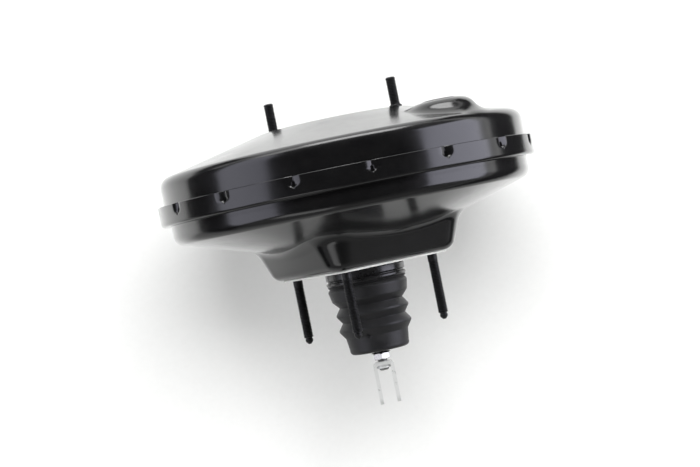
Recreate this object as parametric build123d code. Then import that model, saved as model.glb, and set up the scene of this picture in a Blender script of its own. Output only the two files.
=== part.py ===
"""Single-diaphragm vacuum brake booster, in millimetres.

Frame: the booster's axis is Y. +Y points forward to the master cylinder, -Y back to the
brake pedal, +Z is up in the car. The origin is where the axis meets the firewall, which is
the rear face of the mounting gasket. The pedal pin lies along X. The stud patterns and the
crimps are turned about the axis by CLOCK, as the booster sits in the car.
"""
from build123d import *
import os
from math import cos, radians, sin, sqrt, tan

# ---------------------------------------------------------------- driving sizes
# clearances
RUNNING = 0.05          # radial gap of a guided round part
FREE = 0.3              # gap between pieces that only lie close together
SNUG = 0.1              # gap between pieces that are stacked or seated

# shells
SHEET = 1.5             # steel of both shells
CLOCK = 15.0            # turn of the stud patterns and crimps about the axis, degrees
BODY_DEPTH = 122.8      # firewall to the master cylinder's face
WALL_R = 148.5          # outside of the rear shell's wall
FRONT_STEP = 2.5        # from the rear shell's wall out to the front shell's
BAND_STEP = 7.5         # from the rear shell's wall out to the crimp band's outside
BAND_Y = 63.5           # rear edge of the crimp band
BAND_H = 16.5           # length of the crimp band along the axis
BAND_BEND_R = 2.2       # middle bend radius of the band's rear edge
SEAT_BEND_R = 1.2       # middle bend radius where the wall turns out to the bead's seat
FLARE_PITCH = 16.6      # slope of the rear flare, degrees
FLARE_R = 97.0          # a radius where the flare's outside is at FLARE_Y
FLARE_Y = 33.1
REAR_CORNER_R = 9.0
CONE_PITCH = 13.5       # slope of the front cone, degrees
FACE_R = 62.0           # radius of the flat master cylinder face
FACE_BLEND_R = 16.0     # bend between the flat face and the cone
SHOULDER_R = 9.0
LANCE_COUNT = 16
LANCE_W = 16.5
LANCE_DEPTH = 2.9       # how far a crimp's fold is driven in

# pad that meets the firewall
PAD_RIM = 7.0           # from the rear stud plate's edge out to the pad's sharp flats
PAD_CORNER_R = 14.0
PAD_DRAFT = 22.0
PAD_EDGE_R = 8.0
PAD_BLEND_R = 9.0
GASKET_T = 1.5
GASKET_MARGIN = 5.0     # from the pad's sharp face to the gasket's edge
GASKET_STUD_GAP = 1.5   # between the gasket and each stud

# neck that carries the seal and the boot
NECK_R = 30.0
NECK_LEN = 11.0         # from the firewall to the neck's rear end
NECK_LIP_R = 24.5
NECK_BEND_R = 3.0
LIP_BEND_R = 1.5
BUSH_LEN = 5.0
SEAL_LEN = 5.0
SEAL_LIP_LEN = 2.6      # of the seal's lip along the piston's tail
SEAL_LIP_T = 2.4        # thickness of the lip at its root
SEAL_WAIST = 1.2        # clearance of the seal's body beside the lip
SLEEVE_GAP = 1.5        # from the piston's tail to the stop sleeve

# vacuum port boss on the front cone
BOSS_ANGLE = 41.0       # from +X towards +Z
BOSS_INSET = 41.0       # from the front shell's wall to the boss's axis
BOSS_TOP_R = 23.0
BOSS_DROP = 4.7         # from the master cylinder's face down to the boss's top
BOSS_ROOT = 31.0        # from that face down to where the boss's cone starts
BOSS_DRAFT = 34.0
BOSS_EDGE_R = 5.0
BOSS_BLEND_R = 7.0
PORT_R = 10.5           # hole in the boss
GROMMET_BORE_R = 8.0
GROMMET_FLANGE_R = 14.0
GROMMET_LIP = 1.4
GROMMET_TAIL = 5.0
GROMMET_BARB = 1.5      # how far the barb stands past the hole
GROMMET_TIP = 1.0       # how far the inner end stays inside the hole

# master cylinder seat
PILOT_R = 20.0          # bore that takes the master cylinder's spigot
PILOT_LEN = 10.0
PILOT_BEND_R = 2.2
FRONT_STUD_RADIUS = 53.2
FRONT_STUD_LEN = 25.5
FRONT_COLLAR_R = 5.2
FRONT_COLLAR_H = 2.4
FRONT_PLATE_R = 59.5
FRONT_PLATE_BORE_R = 25.0
FRONT_PLATE_T = 2.0

# firewall studs
STUD_R = 4.0
STUD_SEAT_R = 4.4       # shoulder that is pressed through the plate and the shell
STUD_HEAD_R = 8.0
STUD_HEAD_H = 4.0
STUD_CHAMFER = 0.8
REAR_STUD_RADIUS = 58.3
REAR_STUD_LEN = 54.0    # from the firewall to the tip
STUD_DOG_R = 2.9
STUD_DOG_LEN = 6.0
REAR_PLATE_RIM = 9.775  # from a stud's axis to the plate's edge
REAR_PLATE_CORNER_R = 12.0
REAR_PLATE_BORE_R = 33.0
REAR_PLATE_T = 2.5

# power piston
TAIL_R = 22.5
TAIL_BORE_R = 19.0
TAIL_END = 66.0         # from the firewall back to the tail's end
HUB_R = 38.0
HUB_Y = 33.0
HUB_T = 8.0
NOSE_R = 24.0
NOSE_LEN = 19.0
SEAT_Y = 5.0            # the face where both valve seats lie
SEAT_LAND_R = 14.0
SEAT_RELIEF_R = 17.5
SEAT_RELIEF = 2.0
VACUUM_HOLE_R = 2.5
VACUUM_HOLE_RADIUS = 16.2
PLATE_T = 1.2
PLATE_FLAT_R = 62.0
PLATE_GAP = 24.5        # from the diaphragm plate's rim to the shell's wall
PLATE_RISE = 8.5        # from the hub to the rim of the diaphragm plate
PLATE_LIP = 8.0
PLATE_BEND_R = 4.0
RUBBER_T = 1.8          # diaphragm web
BEAD_T = 3.9            # outer bead, along the axis
BEAD_W = 6.4
INNER_BEAD_W = 3.0
INNER_BEAD_T = 3.4
ROLL_IN = 4.0           # inner side of the diaphragm's roll, from its middle
ROLL_OUT = 5.0          # outer side of the roll
ROLL_DEPTH = 4.0        # inner side of the roll, below the rim bead's middle
ROLL_FOOT = 2.0         # outer side of the roll, below the rim bead's middle
BEAD_ROOT = 1.0         # how far the web runs into the rim bead

# front of the piston
DISC_R = 12.0
DISC_T = 3.5
HEAD_T = 6.0
ROD_R = 5.0
ROD_TIP_SHY = 1.8       # the output rod's tip stands this far short of the face
ROD_TIP_R = 3.0
CAP_T = 1.2
CAP_FLANGE_R = 37.0
CAP_BEND_R = 0.9

# valve
LOST_MOTION = 1.5
PLUNGER_R = 8.5
PLUNGER_LEN = 16.0
PLUNGER_NOSE_R = 6.0
PLUNGER_SEAT_R = 10.5
PLUNGER_SEAT_T = 2.4
KEY_Y = 26.0
KEY_T = 3.0
KEY_W = 12.0
KEY_SPAN = 53.0
KEY_GROOVE_R = 4.0
BALL_R = 5.0
BALL_Y = 14.0
BALL_MOUTH_R = 4.6
POPPET_FACE_T = 3.0
POPPET_R = 15.5
POPPET_HOLE_R = 7.6
POPPET_SLEEVE_R = 13.0
POPPET_T = 1.6
POPPET_LEN = 18.0
RETAINER_T = 1.4
RETAINER_LEN = 12.0

# input rod and its fork
INPUT_R = 4.0
INPUT_NECK_R = 3.3
INPUT_NECK_LEN = 14.0
SPRING_SEAT_R = 11.0
SPRING_SEAT_T = 1.6
SPRING_SEAT_Y = -34.0
NUT_AF = 13.0
NUT_T = 6.5
NUT_Y = -71.7           # front face of the lock nut
FORK_GAP = 11.2
FORK_T = 3.0
FORK_DEPTH = 16.0
FORK_LEN = 35.0         # outside of the bridge to the ends
FORK_COLLAR_R = 6.2     # drawn collar that holds the fork's thread
FORK_COLLAR_H = 2.5
FORK_BEND_R = 2.6       # middle bend radius
FORK_NUT_GAP = 0.6
FORK_PIN_R = 4.05
FORK_PIN_EDGE = 8.0     # from the fork's end to the pin's axis
FORK_TIP_R = 6.0        # rounding of the arms' corners
ROD_END_LEN = 2.0       # thread that stands out of the fork's collar

# air inlet
FILTER_BORE_R = 7.6
FILTER_T = 13.0
SILENCER_T = 10.0
FILTER_END_GAP = 2.0

# boot
BOOT_T = 1.8
BOOT_COLLAR_R = 33.0
BOOT_COLLAR_LEN = 11.0
BOOT_TOP_GAP = 0.6      # from the firewall's face to the collar's front edge
BOOT_GROOVE_R = 31.0
BOOT_SHOULDER_R = 33.0
BOOT_SHOULDER_END_R = 31.4
BOOT_CREST_R = 30.4
BOOT_VALLEY_R = 26.0
BOOT_PITCH = 12.8
BOOT_SHOULDER_LEN = 8.0
BOOT_FOLD_Y = -29.4     # first valley
BOOT_FOLDS = 2
BOOT_CUP_R = 24.7
BOOT_LEN = 69.6
BOOT_HOLE_R = 4.4
BOOT_BEND_R = 1.2       # middle bend radius of the folds
BOOT_END_BEND_R = 2.2

# springs
RETURN_WIRE_R = 1.8
RETURN_R = 31.5
RETURN_TURNS = 6.5
POPPET_WIRE_R = 0.6
POPPET_SPRING_R = 10.0
POPPET_TURNS = 6.0
ROD_WIRE_R = 0.8
ROD_SPRING_R = 9.3
ROD_TURNS = 5.0

# ---------------------------------------------------------------- derived places
PAD_Y = GASKET_T                            # outside of the pad's face
PAD_INNER_Y = PAD_Y + SHEET
FRONT_WALL_R = WALL_R + FRONT_STEP
BAND_R = WALL_R + BAND_STEP
PLATE_R = WALL_R - PLATE_GAP
REAR_PLATE_W = 2 * (REAR_STUD_RADIUS / sqrt(2) + REAR_PLATE_RIM)
PAD_W = REAR_PLATE_W + 2 * PAD_RIM          # across the flats of the pad's sharp face
BOSS_RADIUS = FRONT_WALL_R - BOSS_INSET     # from the booster's axis
BOSS_TOP_Y = BODY_DEPTH - BOSS_DROP
BAND_FRONT_Y = BAND_Y + BAND_H
SHELF_Y = BAND_Y + SHEET                    # where the diaphragm's bead sits
FLANGE_Y = SHELF_Y + BEAD_T + SNUG          # rear face of the front shell's flange
LANCE_Y = FLANGE_Y + SHEET + SNUG           # rear edge of each crimp
BAND_INNER_R = BAND_R - SHEET
BEAD_R = BAND_INNER_R - FREE
FACE_INNER_Y = BODY_DEPTH - SHEET
HUB_FRONT_Y = HUB_Y + HUB_T
NOSE_Y = HUB_FRONT_Y + NOSE_LEN
HEAD_Y = NOSE_Y - HEAD_T
DISC_Y = HEAD_Y - SNUG - DISC_T
PLUNGER_TIP_Y = DISC_Y - LOST_MOTION - SNUG
CAP_Y = HUB_FRONT_Y + PLATE_T + SNUG
POPPET_Y = SEAT_Y - SNUG - POPPET_FACE_T
POPPET_END_Y = POPPET_Y - POPPET_LEN
FORK_Y = NUT_Y - NUT_T - FORK_NUT_GAP
FORK_END_Y = FORK_Y - FORK_LEN
PIN_Y = FORK_END_Y + FORK_PIN_EDGE
NECK_INNER_R = NECK_R - SHEET
BUSH_Y = SHEET / 2 + LIP_BEND_R + SNUG - NECK_LEN
BUSH_FRONT_Y = BUSH_Y + BUSH_LEN
SEAL_FRONT_Y = BUSH_FRONT_Y + SNUG + SEAL_LEN
PAD_SEAM_LOW = PAD_Y + PAD_EDGE_R + SHEET   # the flare meets the pad above this
AXIS_PLANE = Plane.XZ                       # its normal is -Y
OUT = "parts"


# ---------------------------------------------------------------- helpers
def lathe(profile):
    """A solid of revolution about the booster's axis from a face in the XY plane."""
    return revolve(profile, Axis.Y)


def ring(inner_r, outer_r, low_y, high_y):
    """A plain ring, or a disc when inner_r is 0."""
    width = outer_r - inner_r
    middle = ((inner_r + outer_r) / 2, (low_y + high_y) / 2)
    return lathe(Pos(*middle) * Rectangle(width, high_y - low_y))


def turned(points):
    """A turned piece from its half section, as (radius, y) corners."""
    return lathe(make_face(Polyline(*points, close=True)))


def sheet(points, radii, thickness):
    """Pressed sheet from its middle line, as (radius, y) corners with bend radii."""
    return lathe(trace(FilletPolyline(*points, radius=radii), thickness))


def nearest_corner(section, point):
    """The vertex of a section that lies at a known (radius, y) corner."""
    return section.vertices().sort_by_distance((*point, 0))[0]


def polar(radius, angle):
    """X and Z of a point at this angle from +X towards +Z."""
    return radius * cos(radians(angle)), radius * sin(radians(angle))


def along_axis(x, z, radius, low_y, high_y):
    """A cylinder parallel to the booster's axis."""
    return Pos(x, high_y, z) * extrude(AXIS_PLANE * Circle(radius), high_y - low_y)


def cone_y(pitch, radius, at_radius, at_y):
    """Height of a sloping line at a radius."""
    return at_y + (radius - at_radius) * tan(radians(pitch))


def coil(radius, wire_r, low_y, high_y, turns):
    """A spring whose wire stays between two seats."""
    height = high_y - low_y - 2 * wire_r
    path = Helix(height / turns, height, radius, direction=(0, 1, 0))
    wire = Plane(path @ 0, z_dir=path % 0) * Circle(wire_r)
    return Pos(0, low_y + wire_r, 0) * sweep(wire, path=path, is_frenet=True)


def stud_angles(count, start):
    """Angles of a pattern that is turned with the booster."""
    return [CLOCK + start + 360 / count * step for step in range(count)]


REAR_STUDS = [polar(REAR_STUD_RADIUS, angle) for angle in stud_angles(4, 0)]
FRONT_STUDS = [polar(FRONT_STUD_RADIUS, angle) for angle in stud_angles(2, 0)]
BOSS_X, BOSS_Z = polar(BOSS_RADIUS, BOSS_ANGLE)


# ---------------------------------------------------------------- rear shell
def pad_body(inset):
    """The drafted square pad, drawn in by inset for its inner side."""
    slip = inset * (tan(radians(PAD_DRAFT)) - 1 / cos(radians(PAD_DRAFT)))
    side = PAD_W + 2 * slip
    outline = Rot(0, 0, 45 - CLOCK) * RectangleRounded(side, side, PAD_CORNER_R + slip)
    base_y = PAD_Y + inset
    top_y = cone_y(FLARE_PITCH, PAD_W / sqrt(2), FLARE_R, FLARE_Y) + PAD_BLEND_R
    placed = Plane((0, base_y, 0), x_dir=(1, 0, 0), z_dir=(0, 1, 0)) * outline
    body = extrude(placed, top_y - base_y, taper=-PAD_DRAFT)
    return fillet(body.faces().sort_by(Axis.Y)[0].edges(), PAD_EDGE_R - inset)


def rear_body(inset):
    """The rear shell as a filled body, up to the start of its crimp band."""
    wall = WALL_R - inset
    lift = inset / cos(radians(FLARE_PITCH))
    corner = (wall, cone_y(FLARE_PITCH, wall, FLARE_R, FLARE_Y) + lift)
    middle = (0, cone_y(FLARE_PITCH, 0, FLARE_R, FLARE_Y) + lift)
    section = make_face(Polyline((0, BAND_Y), (wall, BAND_Y), corner, middle, close=True))
    section = fillet(nearest_corner(section, corner), REAR_CORNER_R - inset)
    body = lathe(section) + pad_body(inset)
    seam = body.edges().filter_by(GeomType.BSPLINE).filter_by(lambda edge: edge.center().Y > PAD_SEAM_LOW)
    return fillet(seam, PAD_BLEND_R + inset)


def crimp_band():
    """The bead seat and the outer band, with its driven-in crimps."""
    wall = WALL_R - SHEET / 2
    band = BAND_R - SHEET / 2
    seat = BAND_Y + SHEET / 2
    start = (wall, BAND_Y - REAR_CORNER_R / 2)
    body = sheet([start, (wall, seat), (band, seat), (band, BAND_FRONT_Y)], [SEAT_BEND_R, BAND_BEND_R], SHEET)
    height = BAND_FRONT_Y - LANCE_Y
    edge_r = sqrt(BAND_R ** 2 - (LANCE_W / 2) ** 2)
    root = LANCE_W / 2 + FREE
    outer = [(-root, edge_r), (0, BAND_R - LANCE_DEPTH), (root, edge_r)]
    inner = [(root, edge_r - SHEET), (0, BAND_R - LANCE_DEPTH - SHEET), (-root, edge_r - SHEET)]
    fold = make_face(Polyline(*outer, *inner, close=True))
    folds = []
    for angle in stud_angles(LANCE_COUNT, 0):
        placed = Plane((0, LANCE_Y, 0), x_dir=(1, 0, 0), z_dir=(0, 1, 0)) * Rot(0, 0, -angle - 90)
        window = Pos(0, BAND_R) * Rectangle(LANCE_W, 4 * SHEET)
        body -= extrude(placed * window, height + SHEET)
        folds.append(extrude(placed * fold, height))
    return body + folds


def make_rear_shell():
    shell = rear_body(0) - rear_body(SHEET)
    shell -= ring(WALL_R - 2 * SHEET, BAND_R, BAND_Y - REAR_CORNER_R / 2, BAND_Y + SHEET)
    shell += crimp_band()
    neck = NECK_R - SHEET / 2
    mouth = neck + NECK_BEND_R
    pad_middle = PAD_Y + SHEET / 2
    lip_y = SHEET / 2 - NECK_LEN
    shell -= ring(0, mouth, 0, PAD_INNER_Y + SHEET)
    points = [(mouth, pad_middle), (neck, pad_middle), (neck, lip_y), (NECK_LIP_R, lip_y)]
    shell += sheet(points, [NECK_BEND_R - SNUG, LIP_BEND_R], SHEET)
    for x, z in REAR_STUDS:
        shell -= along_axis(x, z, STUD_SEAT_R + SNUG, 0, PAD_INNER_Y + SHEET)
    return shell


# ---------------------------------------------------------------- front shell
def front_body(inset):
    """The front shell's wall, shoulder, cone and face as a filled body."""
    wall = FRONT_WALL_R - inset
    lift = inset / cos(radians(CONE_PITCH))
    face_y = BODY_DEPTH - inset
    face_edge = FACE_R - (lift - inset) / tan(radians(CONE_PITCH))
    corner = (wall, cone_y(-CONE_PITCH, wall, FACE_R, BODY_DEPTH) - lift)
    points = ((0, FLANGE_Y), (wall, FLANGE_Y), corner, (face_edge, face_y), (0, face_y))
    section = make_face(Polyline(*points, close=True))
    section = fillet(nearest_corner(section, corner), SHOULDER_R - inset)
    section = fillet(nearest_corner(section, (face_edge, face_y)), FACE_BLEND_R - inset)
    return lathe(section)


def boss_body(inset):
    """The drafted round boss, standing parallel to the axis."""
    slip = inset * (1 / cos(radians(BOSS_DRAFT)) - tan(radians(BOSS_DRAFT)))
    top_r = BOSS_TOP_R - slip
    root_y = BODY_DEPTH - BOSS_ROOT
    depth = BOSS_TOP_Y - inset - root_y
    bottom_r = top_r + depth * tan(radians(BOSS_DRAFT))
    frustum = Cone(bottom_r, top_r, depth, align=(Align.CENTER, Align.CENTER, Align.MAX))
    frustum = fillet(frustum.edges().sort_by(Axis.Z)[-1], BOSS_EDGE_R - inset)
    return Pos(BOSS_X, BOSS_TOP_Y - inset, BOSS_Z) * Rot(-90, 0, 0) * frustum


def front_solid(inset):
    body = front_body(inset) + boss_body(inset)
    seam = body.edges().filter_by(GeomType.BSPLINE)
    return fillet(seam, BOSS_BLEND_R + inset)


def make_front_shell():
    shell = front_solid(0) - front_solid(SHEET)
    wall = FRONT_WALL_R - SHEET / 2
    flange = FLANGE_Y + SHEET / 2
    bend_top = FLANGE_Y + 4 * SHEET
    shell -= ring(FRONT_WALL_R - 2 * SHEET, BAND_R, FLANGE_Y - SHEET, bend_top)
    shell += sheet([(wall, bend_top), (wall, flange), (BEAD_R, flange)], SHEET, SHEET)
    pilot = PILOT_R + SHEET / 2
    mouth = pilot + PILOT_BEND_R
    face_middle = BODY_DEPTH - SHEET / 2
    shell -= ring(0, mouth, FACE_INNER_Y - SHEET, BODY_DEPTH + SHEET)
    points = [(mouth, face_middle), (pilot, face_middle), (pilot, BODY_DEPTH - PILOT_LEN)]
    shell += sheet(points, PILOT_BEND_R - SNUG, SHEET)
    for x, z in FRONT_STUDS:
        shell -= along_axis(x, z, FRONT_COLLAR_R + SNUG, FACE_INNER_Y - SHEET, BODY_DEPTH + SHEET)
    return shell - along_axis(BOSS_X, BOSS_Z, PORT_R, BODY_DEPTH - BOSS_ROOT, BODY_DEPTH)


# ---------------------------------------------------------------- studs, plates and gasket
def make_firewall_studs():
    head_y = PAD_INNER_Y + SNUG + REAR_PLATE_T + SNUG
    shank_y = STUD_DOG_LEN - REAR_STUD_LEN
    stud = ring(0, STUD_R, shank_y, PAD_Y) + ring(0, STUD_SEAT_R, PAD_Y, head_y)
    stud += ring(0, STUD_HEAD_R, head_y, head_y + STUD_HEAD_H)
    taper_y = shank_y - (STUD_R - STUD_DOG_R)
    dog = [(0, shank_y), (STUD_R, shank_y), (STUD_DOG_R, taper_y), (STUD_DOG_R, STUD_CHAMFER - REAR_STUD_LEN),
           (STUD_DOG_R - STUD_CHAMFER, -REAR_STUD_LEN), (0, -REAR_STUD_LEN)]
    stud += turned(dog)
    return [Pos(x, 0, z) * stud for x, z in REAR_STUDS]


def make_rear_stud_plate():
    low_y = PAD_INNER_Y + SNUG
    outline = Rot(0, 0, 45 - CLOCK) * RectangleRounded(REAR_PLATE_W, REAR_PLATE_W, REAR_PLATE_CORNER_R)
    placed = Plane((0, low_y, 0), x_dir=(1, 0, 0), z_dir=(0, 1, 0)) * (outline - Circle(REAR_PLATE_BORE_R))
    plate = extrude(placed, REAR_PLATE_T)
    for x, z in REAR_STUDS:
        plate -= along_axis(x, z, STUD_SEAT_R + SNUG, 0, low_y + 2 * REAR_PLATE_T)
    return plate


def make_mounting_gasket():
    side = PAD_W - 2 * GASKET_MARGIN
    outline = Rot(0, 0, 45 - CLOCK) * RectangleRounded(side, side, PAD_CORNER_R)
    plane = Plane((0, 0, 0), x_dir=(1, 0, 0), z_dir=(0, 1, 0))
    gasket = extrude(plane * (outline - Circle(NECK_R + NECK_BEND_R + FREE)), GASKET_T)
    for x, z in REAR_STUDS:
        gasket -= along_axis(x, z, STUD_R + GASKET_STUD_GAP, -GASKET_T, 2 * GASKET_T)
    return gasket


def make_master_cylinder_studs():
    head_y = FACE_INNER_Y - 2 * SNUG - FRONT_PLATE_T
    collar_y = BODY_DEPTH + FRONT_COLLAR_H
    tip_y = BODY_DEPTH + FRONT_STUD_LEN
    stud = turned([(0, collar_y), (STUD_R, collar_y), (STUD_R, tip_y - STUD_CHAMFER),
                   (STUD_R - STUD_CHAMFER, tip_y), (0, tip_y)])
    stud += ring(0, FRONT_COLLAR_R, head_y, collar_y)
    stud += ring(0, STUD_HEAD_R, head_y - STUD_HEAD_H, head_y)
    return [Pos(x, 0, z) * stud for x, z in FRONT_STUDS]


def make_front_stud_plate():
    high_y = FACE_INNER_Y - SNUG
    plate = ring(FRONT_PLATE_BORE_R, FRONT_PLATE_R, high_y - FRONT_PLATE_T, high_y)
    for x, z in FRONT_STUDS:
        plate -= along_axis(x, z, FRONT_COLLAR_R + SNUG, high_y - 2 * FRONT_PLATE_T, high_y + SHEET)
    return plate


def make_vacuum_grommet():
    """The rubber grommet in the port, ready for a check valve's nozzle."""
    outside = BOSS_TOP_Y
    inside = BOSS_TOP_Y - SHEET
    tail_y = inside - GROMMET_TAIL
    barb_y = inside - SNUG
    rim_y = outside + GROMMET_LIP
    points = [(GROMMET_BORE_R, tail_y), (PORT_R - GROMMET_TIP, tail_y), (PORT_R + GROMMET_BARB, barb_y),
              (PORT_R - SNUG, barb_y), (PORT_R - SNUG, outside + SNUG), (GROMMET_FLANGE_R, outside + SNUG),
              (GROMMET_FLANGE_R - GROMMET_LIP / 2, rim_y), (GROMMET_BORE_R, rim_y)]
    return Pos(BOSS_X, 0, BOSS_Z) * turned(points)


def make_front_seal():
    low_y = BODY_DEPTH - PILOT_LEN
    return ring(ROD_R + FREE, PILOT_R - SNUG, low_y, low_y + PILOT_LEN / 2)


# ---------------------------------------------------------------- neck guide
def make_neck_bush():
    return ring(TAIL_R + RUNNING, NECK_INNER_R - SNUG, BUSH_Y, BUSH_FRONT_Y)


def make_neck_seal():
    """A rubber lip seal, relaxed so that its lip just clears the piston's tail."""
    low_y = BUSH_FRONT_Y + SNUG
    outer = NECK_INNER_R - SNUG
    lip = TAIL_R + FREE
    points = [(outer, low_y), (outer, SEAL_FRONT_Y), (lip + SEAL_WAIST, SEAL_FRONT_Y),
              (lip + SEAL_LIP_T, low_y + SEAL_LIP_LEN), (lip, low_y + SEAL_LIP_LEN), (lip, low_y)]
    return turned(points)


def make_stop_sleeve():
    """The flanged sleeve that holds the seal and stops the key."""
    low_y = SEAL_FRONT_Y + SNUG
    bore = TAIL_R + SLEEVE_GAP
    flange = ring(bore, NECK_INNER_R - SNUG, low_y, low_y + SHEET)
    return flange + ring(bore, bore + SHEET, low_y, KEY_Y - SNUG)


# ---------------------------------------------------------------- power piston
def make_valve_body():
    """The moulded piston hub with its tail, valve seats, passages and key slot."""
    flange_y = SEAT_Y + PLUNGER_SEAT_T + LOST_MOTION + SNUG
    guide_y = SEAT_Y + PLUNGER_LEN + LOST_MOTION + SNUG
    disc_bore = DISC_R + SNUG
    points = [(TAIL_R, -TAIL_END), (TAIL_R, HUB_Y), (HUB_R, HUB_Y), (HUB_R, HUB_FRONT_Y),
              (NOSE_R, HUB_FRONT_Y), (NOSE_R, NOSE_Y), (disc_bore, NOSE_Y), (disc_bore, DISC_Y),
              (PLUNGER_NOSE_R + FREE, DISC_Y), (PLUNGER_NOSE_R + FREE, guide_y),
              (PLUNGER_R + RUNNING, guide_y), (PLUNGER_R + RUNNING, flange_y),
              (PLUNGER_SEAT_R + FREE, flange_y), (PLUNGER_SEAT_R + FREE, SEAT_Y), (SEAT_LAND_R, SEAT_Y),
              (SEAT_LAND_R, SEAT_Y + SEAT_RELIEF), (SEAT_RELIEF_R, SEAT_Y + SEAT_RELIEF),
              (SEAT_RELIEF_R, SEAT_Y), (TAIL_BORE_R, SEAT_Y), (TAIL_BORE_R, -TAIL_END)]
    body = turned(points)
    for side in (-1, 1):
        hole = along_axis(0, side * VACUUM_HOLE_RADIUS, VACUUM_HOLE_R, SEAT_Y, NOSE_Y + SNUG)
        body -= hole
    slot_low = KEY_Y - SNUG
    slot_high = KEY_Y + KEY_T + SNUG
    slot = Box(2 * HUB_R, slot_high - slot_low, KEY_W + 2 * SNUG)
    return body - Pos(0, (slot_low + slot_high) / 2, 0) * slot


def make_diaphragm_plate():
    middle = HUB_FRONT_Y + (PLATE_T + SNUG) / 2
    rim = PLATE_R - PLATE_T / 2
    points = [(NOSE_R + SHEET, middle), (PLATE_FLAT_R, middle), (rim, middle + PLATE_RISE),
              (rim, middle + PLATE_RISE + PLATE_LIP)]
    return sheet(points, [4 * PLATE_BEND_R, PLATE_BEND_R], PLATE_T)


def make_diaphragm():
    """The rolling rubber diaphragm, with its hub bead and its clamped rim bead."""
    web = HUB_FRONT_Y - SNUG - RUBBER_T / 2
    rim = PLATE_R + SNUG + RUBBER_T / 2
    slope = PLATE_RISE / (PLATE_R - PLATE_T / 2 - PLATE_FLAT_R)
    rim_y = web - SNUG + slope * (rim - PLATE_FLAT_R)
    roll_r = (rim + BEAD_R - BEAD_W) / 2
    bead_middle = SHELF_Y + BEAD_T / 2
    points = [(HUB_R + SNUG, web), (PLATE_FLAT_R + SNUG, web), (rim, rim_y),
              (roll_r - ROLL_IN, bead_middle - ROLL_DEPTH), (roll_r + ROLL_OUT, bead_middle - ROLL_FOOT),
              (BEAD_R - BEAD_W + BEAD_ROOT, bead_middle)]
    rim_bend = PLATE_BEND_R + RUBBER_T
    body = sheet(points, [4 * PLATE_BEND_R, rim_bend, PLATE_BEND_R, PLATE_BEND_R], RUBBER_T)
    bead_top = HUB_FRONT_Y - SNUG
    inner_bead = ring(HUB_R + SNUG, HUB_R + INNER_BEAD_W, bead_top - INNER_BEAD_T, bead_top)
    low_y = SHELF_Y + SNUG / 2
    high_y = FLANGE_Y - SNUG / 2
    inner_r = BEAD_R - BEAD_W
    rim_bead = turned([(inner_r, low_y), (BEAD_R - BAND_BEND_R, low_y), (BEAD_R, low_y + BAND_BEND_R),
                       (BEAD_R, high_y), (inner_r, high_y)])
    return body + inner_bead + rim_bead


def make_hub_cap():
    """The pressed cap on the hub's nose: spring seat and output rod retainer."""
    bore = ROD_R + SHEET
    tube = NOSE_R + SNUG + CAP_T / 2
    top = NOSE_Y + SNUG + CAP_T / 2
    seat = CAP_Y + CAP_T / 2
    cap = sheet([(bore, top), (tube, top), (tube, seat), (CAP_FLANGE_R, seat)], CAP_BEND_R, CAP_T)
    for side in (-1, 1):
        cap -= along_axis(0, side * VACUUM_HOLE_RADIUS, VACUUM_HOLE_R, NOSE_Y, NOSE_Y + 2 * CAP_T)
    return cap


def make_reaction_disc():
    return ring(0, DISC_R, DISC_Y, DISC_Y + DISC_T)


def make_output_rod():
    tip_y = BODY_DEPTH - ROD_TIP_SHY
    points = [(0, HEAD_Y), (DISC_R, HEAD_Y), (DISC_R, NOSE_Y), (ROD_R, NOSE_Y),
              (ROD_R, tip_y - ROD_R + ROD_TIP_R), (ROD_TIP_R, tip_y), (0, tip_y)]
    return turned(points)


# ---------------------------------------------------------------- control valve
def make_valve_plunger():
    groove_low = KEY_Y - LOST_MOTION - SNUG
    groove_high = KEY_Y + KEY_T + SNUG
    shoulder_y = SEAT_Y + PLUNGER_LEN
    flange_y = SEAT_Y + PLUNGER_SEAT_T
    points = [(0, SEAT_Y), (PLUNGER_SEAT_R, SEAT_Y), (PLUNGER_SEAT_R, flange_y), (PLUNGER_R, flange_y),
              (PLUNGER_R, shoulder_y), (PLUNGER_NOSE_R, shoulder_y), (PLUNGER_NOSE_R, groove_low),
              (KEY_GROOVE_R, groove_low), (KEY_GROOVE_R, groove_high), (PLUNGER_NOSE_R, groove_high),
              (PLUNGER_NOSE_R, PLUNGER_TIP_Y), (0, PLUNGER_TIP_Y)]
    socket = Pos(0, BALL_Y, 0) * Sphere(BALL_R + RUNNING)
    return turned(points) - socket - ring(0, BALL_MOUTH_R, SEAT_Y - SNUG, BALL_Y)


def make_stop_key():
    key = Box(KEY_SPAN, KEY_T, KEY_W)
    notch = Cylinder(KEY_GROOVE_R + FREE, 2 * KEY_T, rotation=(90, 0, 0))
    notch += Pos(0, 0, KEY_W / 2) * Box(2 * (KEY_GROOVE_R + FREE), 2 * KEY_T, KEY_W)
    return Pos(0, KEY_Y + KEY_T / 2, 0) * (key - notch)


def make_poppet_valve():
    sleeve_bore = POPPET_SLEEVE_R - POPPET_T
    face = ring(POPPET_HOLE_R, POPPET_R, POPPET_Y, POPPET_Y + POPPET_FACE_T)
    sleeve = ring(sleeve_bore, POPPET_SLEEVE_R, POPPET_END_Y, POPPET_Y)
    bead = ring(sleeve_bore, TAIL_BORE_R - 2 * RETAINER_T, POPPET_END_Y, POPPET_END_Y + POPPET_T)
    return face + sleeve + bead


def make_valve_retainer():
    tube = TAIL_BORE_R - SNUG - RETAINER_T / 2
    base = POPPET_END_Y - SNUG - RETAINER_T / 2
    return sheet([(POPPET_HOLE_R, base), (tube, base), (tube, base + RETAINER_LEN)], RETAINER_T, RETAINER_T)


def make_return_spring():
    low_y = CAP_Y + CAP_T + SNUG
    high_y = FACE_INNER_Y - FRONT_PLATE_T - 2 * SNUG
    return coil(RETURN_R, RETURN_WIRE_R, low_y, high_y, RETURN_TURNS)


def make_poppet_spring():
    return coil(POPPET_SPRING_R, POPPET_WIRE_R, POPPET_END_Y, POPPET_Y - SNUG, POPPET_TURNS)


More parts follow.
